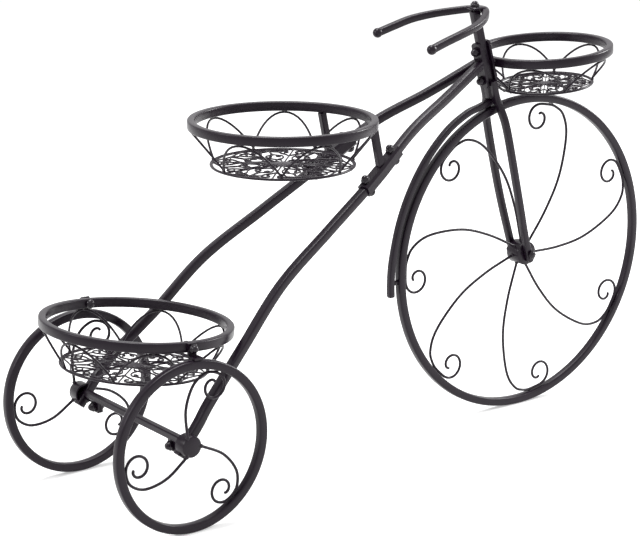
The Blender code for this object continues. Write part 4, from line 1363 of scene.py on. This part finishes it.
@dataclass(frozen=True)
class Basket:
    """A pot basket: flat-bar ring, wire arches and a pierced floor with a wire round it."""

    label: str
    place: Matrix
    first_arch: float
    arches: int = 7
    radius: float = POT_RING_RADIUS
    height: float = 0.0500
    floor_radius: float = 0.0795
    ring_height: float = RING_HEIGHT
    ring_thickness: float = RING_THICKNESS
    ring_corner: float = 0.0016
    ring_steps: int = 160
    wire: float = 0.0013
    wire_sides: int = 10
    arch_steps: int = 26
    fullness: float = 0.95
    floor_thickness: float = 0.0023
    lattice_thickness: float = 0.0018
    rim_wire: float = 0.0015
    rim_steps: int = 120
    foot_weld: Triple = (0.0021, 0.0021, 0.0015)
    tip_weld: Triple = (0.0026, 0.0026, 0.0013)

    def build(self, plate: LatticePlate) -> None:
        """Builds the basket.

        Args:
            plate: The floor's lattice.
        """
        self.make_ring()
        self.make_arches()
        self.add_welds()
        self.make_floor(plate)

    def make_ring(self) -> None:
        """Builds the top ring."""
        middle = self.radius - self.ring_thickness / 2
        section = rounded_section(self.ring_thickness, self.ring_height, self.ring_corner)
        profile = [(middle + u, v - self.ring_height / 2) for u, v in section]
        bm = bmesh.new()
        add_ring(bm, profile, self.ring_steps, self.place)
        node = f"{self.label}_basket_ring"
        to_piece(f"{node}_bar", bm, POWDER_COAT, [node])

    def arch_point(self, arch: int, share: float) -> Vector:
        """A point of an arch in the basket's own frame.

        Args:
            arch: Which arch.
            share: How far along the arch, from 0 to 1.

        Returns:
            The point.
        """
        middle = self.radius - self.ring_thickness / 2
        foot = self.floor_radius - self.wire
        top = -self.ring_height - SEAT - self.wire
        bottom = -self.height + self.floor_thickness / 2 + SEAT + self.wire
        angle = math.radians(self.first_arch) + math.tau * (arch + share) / self.arches
        rise = math.sin(math.pi * share) ** self.fullness
        out = foot + (middle - foot) * rise
        height = bottom + (top - bottom) * rise
        return Vector((out * math.cos(angle), out * math.sin(angle), height))

    def make_arches(self) -> None:
        """Builds the wreath of wire arches."""
        path = []
        for arch in range(self.arches):
            for k in range(self.arch_steps):
                share = (1 - math.cos(math.pi * k / self.arch_steps)) / 2
                path.append(self.arch_point(arch, share))
        section = round_section(self.wire, self.wire_sides)
        bm = bmesh.new()
        loops = []
        for i, point in enumerate(path):
            along = (path[(i + 1) % len(path)] - path[i - 1]).normalized()
            outward = Vector((point.x, point.y, 0)).normalized()
            across = along.cross(outward).normalized()
            up = across.cross(along)
            loop = [self.place @ (point + across * u + up * v) for u, v in section]
            loops.append([bm.verts.new(corner) for corner in loop])
        add_loops(bm, loops, True)
        node = f"{self.label}_basket_arches"
        to_piece(f"{node}_wire", bm, POWDER_COAT, [node])

    def add_welds(self) -> None:
        """Builds the tack welds at each arch's foot and top."""
        welds = bmesh.new()
        for arch in range(self.arches):
            foot = self.arch_point(arch, 0.0) - UP * self.wire
            add_tack(welds, self.place @ foot, self.foot_weld)
            tip = self.arch_point(arch, 0.5) + UP * self.wire
            add_tack(welds, self.place @ tip, self.tip_weld)
        to_piece(f"{self.label}_basket_welds", welds, WELD_COAT)

    def make_floor(self, plate: LatticePlate) -> None:
        """Builds the floor's lattice and the wire round it.

        Args:
            plate: The lattice.
        """
        low = self.place @ Matrix.Translation((0, 0, -self.height))
        middle = self.floor_radius - self.rim_wire
        node = f"{self.label}_basket_floor"
        lattice = bmesh.new()
        plate.add(lattice, middle, self.lattice_thickness, low)
        to_piece(f"{node}_lattice", lattice, POWDER_COAT, [node], LATTICE_SHARP_ANGLE)
        profile = [(middle + u, v) for u, v in round_section(self.rim_wire)]
        rim = bmesh.new()
        add_ring(rim, profile, self.rim_steps, low)
        to_piece(f"{node}_rim", rim, POWDER_COAT, [node])


# Frame


@dataclass(frozen=True)
class ForkLine:
    """The straight line of the stem and the fork, which leans back from the front axle."""

    wheelbase: float = WHEELBASE
    wheel_radius: float = FRONT_WHEEL_RADIUS
    lean_degrees: float = 15.73
    stem_low: float = 0.200664
    stem_length: float = 0.1059
    head_share: float = 0.391

    @property
    def lean(self) -> float:
        """The lean in radians."""
        return math.radians(self.lean_degrees)

    @property
    def stem_top(self) -> float:
        """How far up the line the stem reaches."""
        return self.stem_low + self.stem_length

    @property
    def head_middle(self) -> float:
        """How far up the line the head's bolts are centred."""
        return self.stem_low + self.stem_length * self.head_share

    def point(self, along: float, back: float = 0.0) -> Vector:
        """A point on the line, or behind it.

        Args:
            along: Distance up the line from the front axle.
            back: Distance back from the line.

        Returns:
            The point.
        """
        x = self.wheelbase - along * math.sin(self.lean) - back * math.cos(self.lean)
        z = self.wheel_radius + along * math.cos(self.lean) - back * math.sin(self.lean)
        return Vector((x, 0, z))


@dataclass(frozen=True)
class FrameTubes:
    """The two S-curved square tubes on each side, their sleeves and bolts.

    The shares give each tube's place between its tail at the rear hub and the head.
    """

    line: ForkLine
    tube: float = FRAME_TUBE
    corner: float = TUBE_CORNER
    head_offset: float = 0.0040
    plate_back: float = 0.0086
    tail_y: float = 0.09955
    tail_z: float = 0.0900
    tail_run: float = 0.0120
    tail_notch: float = 0.014
    sleeve_share: float = 0.3464
    sleeve_outside: float = 0.0146
    sleeve_ease: float = 0.0006
    bolt_spacing: float = 0.0500
    tab_middle: float = LUG_OFFSET
    tab_width: float = 0.0140
    tab_x: float = 0.0018
    tab_thickness: float = LUG_THICKNESS
    tab_low: float = 0.0783
    tab_neck: float = 0.08501
    x_shares: tuple[float, ...] = (1.0, 0.874, 0.736, 0.599, 0.449, 0.299, 0.177, 0.070, 0.034, 0.0)
    y_shares: tuple[float, ...] = (0.0, 0.139, 0.311, 0.469, 0.598, 0.727, 0.842, 0.970, 1.0, 1.0)
    z_shares: tuple[float, ...] = (1.0, 0.914, 0.826, 0.695, 0.562, 0.426, 0.260, 0.120, 0.059, 0.0)
    route_steps: int = 12
    upper_steps: int = 48
    lower_steps: int = 84

    def route(self, side: Side) -> list[Vector]:
        """The whole run of one side's tube.

        Args:
            side: Which side.

        Returns:
            The middle line, from the head to the rear hub.
        """
        head = self.line.point(self.line.head_middle)
        head = Vector((head.x - self.tube, self.head_offset, head.z))
        tail = Vector((0, self.tail_y, self.tail_z))
        points = []
        for x_share, y_share, z_share in zip(self.x_shares, self.y_shares, self.z_shares):
            x = tail.x + (head.x - tail.x) * x_share
            y = head.y + (tail.y - head.y) * y_share
            z = tail.z + (head.z - tail.z) * z_share
            points.append(Vector((x, y * side.value, z)))
        return smooth_path(points, self.route_steps)

    def section(self) -> Section:
        """The tube's outline."""
        return rounded_section(self.tube, self.tube, self.corner)

    def build(self, cad: CadNodes) -> None:
        """Builds the tubes and bolts of both sides.

        Args:
            cad: The CAD nodes, of which the sleeves are dressed.
        """
        for side in Side:
            path = self.route(side)
            middle = length_of(path) * self.sleeve_share
            self.make_upper(side, path, middle)
            self.make_lower(side, path, middle)
            self.make_bolts(side, path, middle)
            cad.dress(f"{side.label}_frame_sleeve", POWDER_COAT, self.sleeve_ease)

    def tails(self) -> dict[Side, list[Vector]]:
        """The last run of each side's tube, a little longer than the tube.

        Returns:
            The run's two ends, for each side.
        """
        ends = {}
        for side in Side:
            path = self.route(side)
            stop, way = point_along(path, length_of(path))
            start = stop - way * self.tail_notch
            ends[side] = [start, stop + way * (self.tail_run + SEAT)]
        return ends

    def make_upper(self, side: Side, path: list[Vector], middle: float) -> None:
        """Builds the tube between the head plate and the sleeve, trimmed to the plate.

        Where the two sides' tubes meet, each is trimmed to the plane between them.

        Args:
            side: Which side.
            path: The whole middle line.
            middle: Distance along it of the sleeve's middle.
        """
        run = part_of(path, 0, middle - SEAT / 2, self.upper_steps)
        bm = bmesh.new()
        loops = add_bar(bm, run, self.section(), UP)
        normal = Vector((math.cos(self.line.lean), 0, math.sin(self.line.lean)))
        plane = self.line.point(self.line.head_middle, self.plate_back + SEAT)
        way = (run[1] - run[0]).normalized()
        for vert in loops[0]:
            vert.co += way * ((plane - vert.co).dot(normal) / way.dot(normal))
        for loop in loops:
            for vert in loop:
                if vert.co.y * side.value < SEAT / 2:
                    vert.co.y = side.value * SEAT / 2
        node = f"{side.label}_upper_frame_tube"
        to_piece(f"{node}_bar", bm, POWDER_COAT, [node])

    def make_lower(self, side: Side, path: list[Vector], middle: float) -> None:
        """Builds the tube between the sleeve and the rear hub, and the tab at its end.

        Args:
            side: Which side.
            path: The whole middle line.
            middle: Distance along it of the sleeve's middle.
        """
        run = part_of(path, middle + SEAT / 2, length_of(path), self.lower_steps)
        run.append(run[-1] + (run[-1] - run[-2]).normalized() * self.tail_run)
        bm = bmesh.new()
        add_bar(bm, run, self.section(), UP)
        node = f"{side.label}_lower_frame_tube"
        to_piece(f"{node}_bar", bm, POWDER_COAT, [node])
        tab = bmesh.new()
        add_plate(tab, self.tab_outline(side), self.tab_x, self.tab_thickness)
        to_piece(f"{node}_tab", tab, POWDER_COAT, [node])

    def tab_outline(self, side: Side) -> Section:
        """The outline of the tab that runs down out of the hub from the tube's end.

        Args:
            side: Which side.

        Returns:
            Its points, as (y, z).
        """
        near = self.tab_middle - self.tab_width / 2
        far = self.tab_middle + self.tab_width / 2
        corners = (
            (near, self.tab_low),
            (far, self.tab_low),
            (far, self.tab_neck),
            (self.tail_y, self.tab_neck),
            (self.tail_y, self.tail_z),
            (near, self.tail_z),
        )
        return [(y * side.value, z) for y, z in corners]

    def make_bolts(self, side: Side, path: list[Vector], middle: float) -> None:
        """Builds the two bolts through the sleeve.

        Args:
            side: Which side.
            path: The whole middle line.
            middle: Distance along it of the sleeve's middle.
        """
        bolt = DomeBolt()
        for number, way in ((1, -1), (2, 1)):
            place, along = point_along(path, middle + way * self.bolt_spacing / 2)
            across = along.cross(UP).normalized()
            up = across.cross(along)
            start = place - up * self.sleeve_outside / 2
            bolt.make(f"{side.label}_sleeve_bolt_{number}", start, up, self.sleeve_outside)


@dataclass(frozen=True)
class SteeringHead:
    """The stem, the fork legs, the head plate and bolts."""

    line: ForkLine
    stem_tube: float = STEM_TUBE
    stem_corner: float = TUBE_CORNER
    leg: float = 0.0078
    leg_corner: float = 0.0014
    leg_lap: float = 0.0213
    leg_steps: int = 8
    shoulder_at: float = 0.1870
    waist_at: float = 0.1600
    spread: float = 0.0170
    dropout: float = 0.0100
    pinch: float = 0.0025
    bow: float = 0.0018
    ankle_steps: int = 8
    ankle_thinning: float = 0.22
    ankle_widening: float = 0.20
    toe_scale: tuple[float, float] = (0.60, 0.75)
    crown_bead: float = 0.0011
    crown_points: int = 16
    crown_margin: float = 0.05
    crown_depth: float = 0.98
    plate_thickness: float = 0.0030
    plate_ease: float = 0.0005
    bolt_spacing: float = 0.0355

    def build(self, cad: CadNodes) -> None:
        """Builds the head's pieces.

        Args:
            cad: The CAD nodes, of which the head plate and the basket's bracket are dressed.
        """
        self.make_stem()
        self.make_legs()
        self.make_bolts()
        for node in ("head_plate", "front_basket_bracket"):
            cad.dress(node, POWDER_COAT, self.plate_ease)

    def make_stem(self) -> None:
        """Builds the upright stem."""
        ends = [self.line.point(self.line.stem_low), self.line.point(self.line.stem_top)]
        section = rounded_section(self.stem_tube, self.stem_tube, self.stem_corner)
        bm = bmesh.new()
        add_bar(bm, ends, section, ALONG_X)
        to_piece("stem", bm, POWDER_COAT, ["fork_stem"])

    def leg_path(self, side: Side) -> list[Vector]:
        """The middle line of one fork leg.

        Args:
            side: Which side.

        Returns:
            Its points, from the stem down to the dropout.
        """
        shoulder = self.stem_tube / 2 + self.leg / 2 - SEAT
        hip = (shoulder + self.spread) / 2
        ankle = self.spread - self.pinch
        rows = (
            (self.line.stem_low + self.leg_lap, shoulder, 0.0),
            (self.line.stem_low, shoulder, 0.0),
            (self.shoulder_at, hip, 0.0),
            (self.waist_at, self.spread, 0.0),
            (self.waist_at / 2, self.spread, self.bow),
            (self.dropout * 2, ankle, self.bow),
            (-self.dropout, ankle, 0.0),
        )
        points = []
        for along, out, back in rows:
            point = self.line.point(along, back)
            point.y = out * side.value
            points.append(point)
        return smooth_path(points, self.leg_steps)

    def leg_scales(self, count: int) -> list[tuple[float, float]]:
        """The leg's scale at each point, where its lower end flattens to the dropout.

        Args:
            count: How many points the leg has.

        Returns:
            Scales across and up.
        """
        scales = []
        for k in range(count):
            flat = max(0.0, 1 - (count - 1 - k) / self.ankle_steps)
            scales.append((1.0 - self.ankle_thinning * flat, 1.0 + self.ankle_widening * flat))
        scales[-1] = self.toe_scale
        return scales

    def make_legs(self) -> None:
        """Builds the fork legs with flattened ends, and the welds of the crown."""
        section = rounded_section(self.leg, self.leg, self.leg_corner)
        welds = bmesh.new()
        for side in Side:
            path = self.leg_path(side)
            bm = bmesh.new()
            add_bar(bm, path, section, ALONG_X, False, self.leg_scales(len(path)))
            to_piece(f"{side.label}_fork_leg", bm, POWDER_COAT, ["fork_stem"])
            for face in (-1, 1):
                run = []
                for k in range(self.crown_points):
                    step = (1 - self.crown_margin * 2) * k / (self.crown_points - 1)
                    along = self.line.stem_low + self.leg_lap * (self.crown_margin + step)
                    point = self.line.point(along, face * self.leg / 2 * self.crown_depth)
                    point.y = side.value * (self.stem_tube / 2)
                    run.append(point)
                add_bead(welds, run, self.crown_bead)
        to_piece("fork_crown_welds", welds, WELD_COAT)

    def make_bolts(self) -> None:
        """Builds the two bolts through the head."""
        bolt = DomeBolt()
        axis = Vector((-math.cos(self.line.lean), 0, -math.sin(self.line.lean)))
        grip = self.stem_tube + self.plate_thickness * 2 + SEAT * 2
        for number, way in ((1, 1), (2, -1)):
            along = self.line.head_middle + way * self.bolt_spacing / 2
            start = self.line.point(along) - axis * grip / 2
            bolt.make(f"head_bolt_{number}", start, axis, grip)


@dataclass(frozen=True)
class Handlebar:
    """The hairpin handlebar, its cap over the stem and the bolt that clamps it.

    The shares give the half bar's points from its ball end to the middle of its bend.
    """

    line: ForkLine
    stem_tube: float = STEM_TUBE
    bar: float = 0.0080
    corner: float = 0.0016
    bar_steps: int = 8
    spread: float = 0.0478
    reach: float = 0.1124
    drop: float = 0.0260
    roll_degrees: float = 4.0
    ball: float = 0.0057
    ball_rings: int = 12
    ball_steps: int = 28
    bend_room: float = 0.0018
    cap_length: float = 0.0190
    cap_width: float = 0.0180
    cap_thickness: float = 0.0028
    cap_corner: float = 0.0030
    cap_sink: float = 0.0024
    bolt_depth: float = 0.0070
    nut_height: float = 0.0062
    reach_shares: tuple[float, ...] = (1.0, 0.82, 0.60, 0.38, 0.19, 0.06, 0.0)
    spread_shares: tuple[float, ...] = (1.0, 0.97, 0.935, 0.805, 0.555, 0.285, 0.0)
    drop_shares: tuple[float, ...] = (1.0, 0.77, 0.52, 0.34, 0.18, 0.05, 0.0)

    def room(self) -> float:
        """The height of the cap above the middle of the stem's top."""
        tilt = math.sin(self.line.lean) + math.sin(math.radians(self.roll_degrees))
        return SEAT + self.stem_tube / 2 * tilt

    def mount(self) -> Matrix:
        """The handlebar's frame, with its origin under the cap.

        Returns:
            The matrix of that frame.
        """
        top = self.line.point(self.line.stem_top)
        roll = Matrix.Rotation(math.radians(self.roll_degrees), 4, "X")
        return Matrix.Translation((top.x, 0, top.z + self.room())) @ roll

    def front(self) -> float:
        """How far ahead of the stem's middle the bend of the bar lies.

        Returns:
            The distance, in the mount's frame.
        """
        under = self.bar - self.cap_sink - self.room()
        lean = self.line.lean
        stem = self.stem_tube / 2 / math.cos(lean) + under * math.tan(lean)
        return stem + self.bar / 2 + self.bend_room

    def build(self) -> None:
        """Builds the bar, its ball ends, the cap and the bolt."""
        mount = self.mount()
        path = self.make_bar(mount)
        self.make_balls(path)
        self.make_cap(mount)
        bolt = DomeBolt(nut_height=self.nut_height)
        bottom = -self.room() - self.bolt_depth
        bolt.make_stud("handlebar_bolt", bottom, self.cap_thickness + SEAT, mount)

    def make_bar(self, mount: Matrix) -> list[Vector]:
        """Builds the bar.

        Args:
            mount: The handlebar's frame.

        Returns:
            The bar's middle line.
        """
        front = self.front()
        z = self.cap_sink - self.bar / 2
        half = []
        for out, aside, down in zip(self.reach_shares, self.spread_shares, self.drop_shares):
            point = Vector((front - self.reach * out, self.spread * aside, z - self.drop * down))
            half.append(point)
        points = [Vector((p.x, -p.y, p.z)) for p in half] + half[-2::-1]
        path = [mount @ point for point in smooth_path(points, self.bar_steps)]
        section = rounded_section(self.bar, self.bar, self.corner)
        bm = bmesh.new()
        add_bar(bm, path, section, mount.to_3x3() @ UP)
        to_piece("handlebar_hairpin", bm, POWDER_COAT, ["handlebar"])
        return path

    def make_balls(self, path: list[Vector]) -> None:
        """Builds the ball at each end of the bar.

        Args:
            path: The bar's middle line.
        """
        rows: list[Row] = []
        for k in range(self.ball_rings + 1):
            angle = math.pi * k / self.ball_rings - math.pi / 2
            height, radius = self.ball * math.sin(angle), self.ball * math.cos(angle)
            rows.append(round_row(height, radius, self.ball_steps))
        balls = bmesh.new()
        for end, inner in ((path[0], path[1]), (path[-1], path[-2])):
            add_turned(balls, rows, aim((end - inner).normalized(), end))
        to_piece("handlebar_balls", balls, POWDER_COAT, ["handlebar"])

    def make_cap(self, mount: Matrix) -> None:
        """Builds the cap that closes the stem.

        Args:
            mount: The handlebar's frame.
        """
        front = self.front()
        low = Vector((front - self.cap_length, -self.cap_width / 2, 0))
        high = Vector((front, self.cap_width / 2, self.cap_thickness))
        cap = bmesh.new()
        add_block(cap, low, high, self.cap_corner, mount)
        to_piece("handlebar_cap", cap, POWDER_COAT, ["handlebar"])


@dataclass(frozen=True)
class Mudguard:
    """The bar behind the front wheel and its spacer.

    The shares give the bar's points as its turn between the end angles and its gap to the rim,
    and the spacer's rows as (share of its length, share of its radius).
    """

    wheelbase: float = WHEELBASE
    wheel_radius: float = FRONT_WHEEL_RADIUS
    bar: float = 0.0074
    corner: float = 0.0013
    end_scale: float = 0.88
    bar_steps: int = 8
    gap: float = 0.0078
    start_angle: float = 103.0
    end_angle: float = 186.7
    turn_shares: tuple[float, ...] = (0.0, 0.10, 0.17, 0.28, 0.42, 0.56, 0.70, 0.85, 0.945, 1.0)
    gap_shares: tuple[float, ...] = (0.30, 0.38, 0.74, 0.88, 0.70, 0.52, 0.46, 0.58, 0.76, 0.86)
    pin: float = 0.0030
    pin_edge: float = 0.0003
    pin_edge_share: float = 0.95
    pin_rows: tuple[tuple[float, float], ...] = (
        (0.22, 1.0),
        (0.26, 0.78),
        (0.74, 0.78),
        (0.78, 1.0),
        (1.0, 1.0),
    )
    pin_steps: int = 32

    def angle_at(self, share: float) -> float:
        """The angle about the front axle at a share of the bar's turn, in radians."""
        return math.radians(self.start_angle + (self.end_angle - self.start_angle) * share)

    def build(self) -> None:
        """Builds the bar and the spacer."""
        self.make_bar()
        self.make_spacer()

    def make_bar(self) -> None:
        """Builds the bar."""
        points = []
        for turn_share, gap_share in zip(self.turn_shares, self.gap_shares):
            radius = self.wheel_radius + self.gap * gap_share + self.bar / 2
            angle = self.angle_at(turn_share)
            x = self.wheelbase + radius * math.cos(angle)
            points.append(Vector((x, 0, self.wheel_radius + radius * math.sin(angle))))
        path = smooth_path(points, self.bar_steps)
        scales = [(1.0, 1.0)] * len(path)
        scales[0] = scales[-1] = (self.end_scale, self.end_scale)
        section = rounded_section(self.bar, self.bar, self.corner)
        bm = bmesh.new()
        add_bar(bm, path, section, ALONG_Y, False, scales)
        to_piece("mudguard", bm, POWDER_COAT, ["mudguard_bar"])

    def make_spacer(self) -> None:
        """Builds the waisted spacer between the rim and the bar's last knot but one."""
        angle = self.angle_at(self.turn_shares[-2])
        way = Vector((math.cos(angle), 0, math.sin(angle)))
        axle = Vector((self.wheelbase, 0, self.wheel_radius))
        start = axle + way * (self.wheel_radius + SEAT)
        length = self.gap * self.gap_shares[-2] - SEAT * 3
        profile = [(0.0, self.pin * self.pin_edge_share), (self.pin_edge, self.pin)]
        profile += [(length * up, self.pin * out) for up, out in self.pin_rows]
        rows = [round_row(height, radius, self.pin_steps) for height, radius in profile]
        spacer = bmesh.new()
        add_turned(spacer, [(0.0, ()), *rows, (length, ())], aim(way, start))
        to_piece("mudguard_spacer_dressed", spacer, BOLT_BLACK, ["mudguard_spacer"])


@dataclass(frozen=True)
class RearJoints:
    """What joins the rear basket and the cross bar to the rest: brackets, lugs and bolts."""

    ring_radius: float = POT_RING_RADIUS
    ring_thickness: float = RING_THICKNESS
    bracket_x: float = REAR_BASKET_X
    bracket_z: float = REAR_BASKET_Z
    bracket_thickness: float = 0.0025
    lug_offset: float = LUG_OFFSET
    lug_bolt_z: float = 0.0841
    lug_thickness: float = LUG_THICKNESS
    bar_ease: float = 0.0005
    bracket_ease: float = 0.0004
    pin_ease: float = 0.0003
    stay_ease: float = 0.0001

    def build(self, cad: CadNodes) -> None:
        """Builds the bolts and dresses the CAD nodes.

        Args:
            cad: The CAD nodes.
        """
        for side in Side:
            self.make_bolts(side)
            cad.dress(f"{side.label}_basket_bracket", POWDER_COAT, self.bracket_ease)
            cad.dress(f"{side.label}_basket_strut", POWDER_COAT, self.bar_ease)
            cad.dress(f"{side.label}_rear_axle_pin", BOLT_BLACK, self.pin_ease)
        cad.dress("rear_cross_bar", POWDER_COAT, self.bar_ease)
        cad.dress("front_basket_stay", POWDER_COAT, self.stay_ease)

    def make_bolts(self, side: Side) -> None:
        """Builds one side's basket bolt and lug bolt.

        Args:
            side: Which side.
        """
        bolt = DomeBolt()
        y = side.value * (self.ring_radius - self.ring_thickness - SEAT)
        ring_grip = self.ring_thickness + SEAT * 2 + self.bracket_thickness
        lug_x = self.lug_thickness * 1.5 + SEAT
        lug_grip = self.lug_thickness * 2 + SEAT
        ring_seat = Vector((self.bracket_x, y, self.bracket_z))
        lug_seat = Vector((lug_x, side.value * self.lug_offset, self.lug_bolt_z))
        bolt.make(f"{side.label}_basket_bolt", ring_seat, ALONG_Y * side.value, ring_grip)
        bolt.make(f"{side.label}_lug_bolt", lug_seat, -ALONG_X, lug_grip)


# Studio


def seen_by(tree: bpy.types.NodeTree, *rays: str) -> bpy.types.NodeSocket:
    """Makes a value that is 1 for some kinds of ray and 0 for the others.

    Args:
        tree: The node tree.
        rays: The kinds of ray, as the Light Path node names them.

    Returns:
        The socket that gives the value.
    """
    path = tree.nodes.new("ShaderNodeLightPath")
    seen = path.outputs[rays[0]]
    for ray in rays[1:]:
        either = tree.nodes.new("ShaderNodeMath")
        either.operation = "MAXIMUM"
        tree.links.new(seen, either.inputs[0])
        tree.links.new(path.outputs[ray], either.inputs[1])
        seen = either.outputs[0]
    return seen


@dataclass(frozen=True)
class Lamp:
    """A soft square lamp that points at the stand."""

    name: str
    place: Triple
    target: Triple
    power: float
    size: float = 1.0

    def build(self) -> None:
        """Adds the lamp, which the camera doesn't see."""
        data = bpy.data.lights.new(self.name, "AREA")
        data.shape = "SQUARE"
        data.size = self.size
        data.energy = self.power
        lamp = bpy.data.objects.new(self.name, data)
        way = Vector(self.target) - Vector(self.place)
        lamp.location = self.place
        lamp.rotation_euler = way.to_track_quat("-Z", "Y").to_euler()
        lamp.visible_camera = False
        bpy.context.scene.collection.objects.link(lamp)


@dataclass(frozen=True)
class Studio:
    """White floor, soft lamps and the camera at the photograph's angle."""

    lamps: tuple[Lamp, ...] = (
        Lamp("lamp_above", (-0.3, 0.4, 2.6), (0.0, 0.0, 0.2), 40.0),
        Lamp("lamp_right", (2.4, -0.6, 1.4), (0.0, 0.0, 0.25), 60.0),
        Lamp("lamp_behind", (0.9, 1.3, 3.0), (0.0, 0.0, 0.2), 30.0),
        Lamp("lamp_left", (-2.6, 0.9, 1.7), (0.0, 0.0, 0.25), 25.0),
    )
    floor_half: float = 30.0
    floor_drop: float = 0.0002
    floor_tone: float = 0.80
    floor_glow: float = 0.36
    sky_light: float = 0.60
    sky_seen: float = 1.0
    camera_place: Triple = (-1.44621, -1.81921, 0.83472)
    camera_yaw: float = 36.377
    camera_pitch: float = 16.32
    camera_roll_radians: float = 0.0016
    lens: float = 119.5
    sensor: float = 36.0
    shift_x: float = 0.0368
    shift_y: float = 0.0676

    def build(self) -> None:
        """Builds the floor, the world, the lamps and the camera."""
        self.make_floor()
        self.make_world()
        for lamp in self.lamps:
            lamp.build()
        self.make_camera()
        bpy.context.scene.view_settings.view_transform = "Standard"

    def make_floor(self) -> None:
        """Builds the floor, which shows white and keeps the stand's shadow."""
        half = self.floor_half
        corners = ((-half, -half), (half, -half), (half, half), (-half, half))
        bm = bmesh.new()
        bm.faces.new([bm.verts.new((x, y, 0)) for x, y in corners])
        mesh = bpy.data.meshes.new("studio_floor")
        bm.to_mesh(mesh)
        bm.free()
        mesh.materials.append(self.floor_material())
        floor = bpy.data.objects.new("studio_floor", mesh)
        floor.location.z = -self.floor_drop
        bpy.context.scene.collection.objects.link(floor)

    def floor_material(self) -> bpy.types.Material:
        """Makes the floor's white: diffuse paint, and a glow for camera and glossy rays.

        Returns:
            The material.
        """
        material = bpy.data.materials.new("studio_white")
        material.use_nodes = True
        tree = material.node_tree
        tree.nodes.clear()
        tone = self.floor_tone
        paint = tree.nodes.new("ShaderNodeBsdfDiffuse")
        paint.inputs["Color"].default_value = (tone, tone, tone, 1.0)
        power = tree.nodes.new("ShaderNodeMath")
        power.operation = "MULTIPLY"
        power.inputs[1].default_value = self.floor_glow
        glow = tree.nodes.new("ShaderNodeEmission")
        both = tree.nodes.new("ShaderNodeAddShader")
        out = tree.nodes.new("ShaderNodeOutputMaterial")
        link = tree.links.new
        link(seen_by(tree, "Is Camera Ray", "Is Glossy Ray"), power.inputs[0])
        link(power.outputs[0], glow.inputs["Strength"])
        link(paint.outputs[0], both.inputs[0])
        link(glow.outputs[0], both.inputs[1])
        link(both.outputs[0], out.inputs["Surface"])
        return material

    def make_world(self) -> None:
        """Builds a white world that lights the stand softly."""
        world = bpy.data.worlds.new("studio_world")
        world.use_nodes = True
        tree = world.node_tree
        background = tree.nodes["Background"]
        background.inputs["Color"].default_value = (1.0, 1.0, 1.0, 1.0)
        strength = tree.nodes.new("ShaderNodeMapRange")
        strength.inputs["To Min"].default_value = self.sky_light
        strength.inputs["To Max"].default_value = self.sky_seen
        seen = seen_by(tree, "Is Camera Ray", "Is Glossy Ray", "Is Transmission Ray")
        tree.links.new(seen, strength.inputs["Value"])
        tree.links.new(strength.outputs["Result"], background.inputs["Strength"])
        bpy.context.scene.world = world

    def make_camera(self) -> None:
        """Builds the camera."""
        data = bpy.data.cameras.new("photo_camera")
        data.lens = self.lens
        data.sensor_width = self.sensor
        data.shift_x = self.shift_x
        data.shift_y = self.shift_y
        camera = bpy.data.objects.new("photo_camera", data)
        turn = Matrix.Rotation(math.radians(-self.camera_yaw), 4, "Z")
        tilt = Matrix.Rotation(math.radians(90 - self.camera_pitch), 4, "X")
        roll = Matrix.Rotation(self.camera_roll_radians, 4, "Z")
        camera.matrix_world = Matrix.Translation(self.camera_place) @ turn @ tilt @ roll
        bpy.context.scene.collection.objects.link(camera)
        bpy.context.scene.camera = camera


# The whole stand


@dataclass(frozen=True)
class BasketPlaces:
    """Where the three baskets hang: rear on its brackets, middle on struts, front on the head."""

    line: ForkLine
    rear_tilt: float = 5.3
    middle_x: float = 0.196625
    middle_z: float = 0.39226
    front_tilt: float = -4.5
    front_drop: float = 0.0019
    front_ahead: float = 0.0083
    front_gap: float = 0.0035
    front_radius: float = 0.0802
    front_height: float = 0.0447
    front_floor_radius: float = 0.0570

    def rear(self) -> Matrix:
        """The rear basket's place, which leans towards the front.

        Returns:
            The matrix of its ring's top.
        """
        tilt = Matrix.Rotation(math.radians(self.rear_tilt), 4, "Y")
        half_ring = Matrix.Translation((0, 0, RING_HEIGHT / 2))
        return Matrix.Translation((REAR_BASKET_X, 0, REAR_BASKET_Z)) @ tilt @ half_ring

    def front(self) -> Matrix:
        """The front basket's place, with its back against the head.

        Returns:
            The matrix of its ring's top.
        """
        tilt = math.radians(self.front_tilt)
        weld = self.line.point(self.line.head_middle - self.front_drop, -self.front_ahead)
        ring_back = Vector((weld.x + self.front_gap, 0, weld.z))
        ahead = Vector((math.cos(tilt), 0, -math.sin(tilt)))
        centre = Matrix.Translation(ring_back + ahead * self.front_radius)
        half_ring = Matrix.Translation((0, 0, RING_HEIGHT / 2))
        return centre @ Matrix.Rotation(tilt, 4, "Y") @ half_ring

    def baskets(self) -> list[Basket]:
        """The three baskets.

        Returns:
            The rear, the middle and the smaller front basket.
        """
        front = Basket(
            label="front",
            place=self.front(),
            first_arch=180.0,
            arches=5,
            radius=self.front_radius,
            height=self.front_height,
            floor_radius=self.front_floor_radius,
        )
        middle = Matrix.Translation((self.middle_x, 0, self.middle_z))
        return [
            Basket(label="rear", place=self.rear(), first_arch=-138.0),
            Basket(label="middle", place=middle, first_arch=-127.0),
            front,
        ]


def main() -> None:
    """Builds the stand's looks and the studio, and reports each piece."""
    logging.basicConfig(level=logging.INFO, format="%(message)s", stream=sys.stdout)
    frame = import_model()
    cad = CadNodes(frame["nodes"])
    line = ForkLine()
    frame_tubes = FrameTubes(line)
    FrontWheel().build()
    RearWheels().build(frame_tubes.tails())
    frame_tubes.build(cad)
    SteeringHead(line).build(cad)
    Handlebar(line).build()
    Mudguard().build()
    RearJoints().build(cad)
    plate = LatticePlate(LatticePattern())
    for basket in BasketPlaces(line).baskets():
        basket.build(plate)
    Studio().build()
    bpy.context.view_layer.update()


if __name__ == "__main__":
    main()
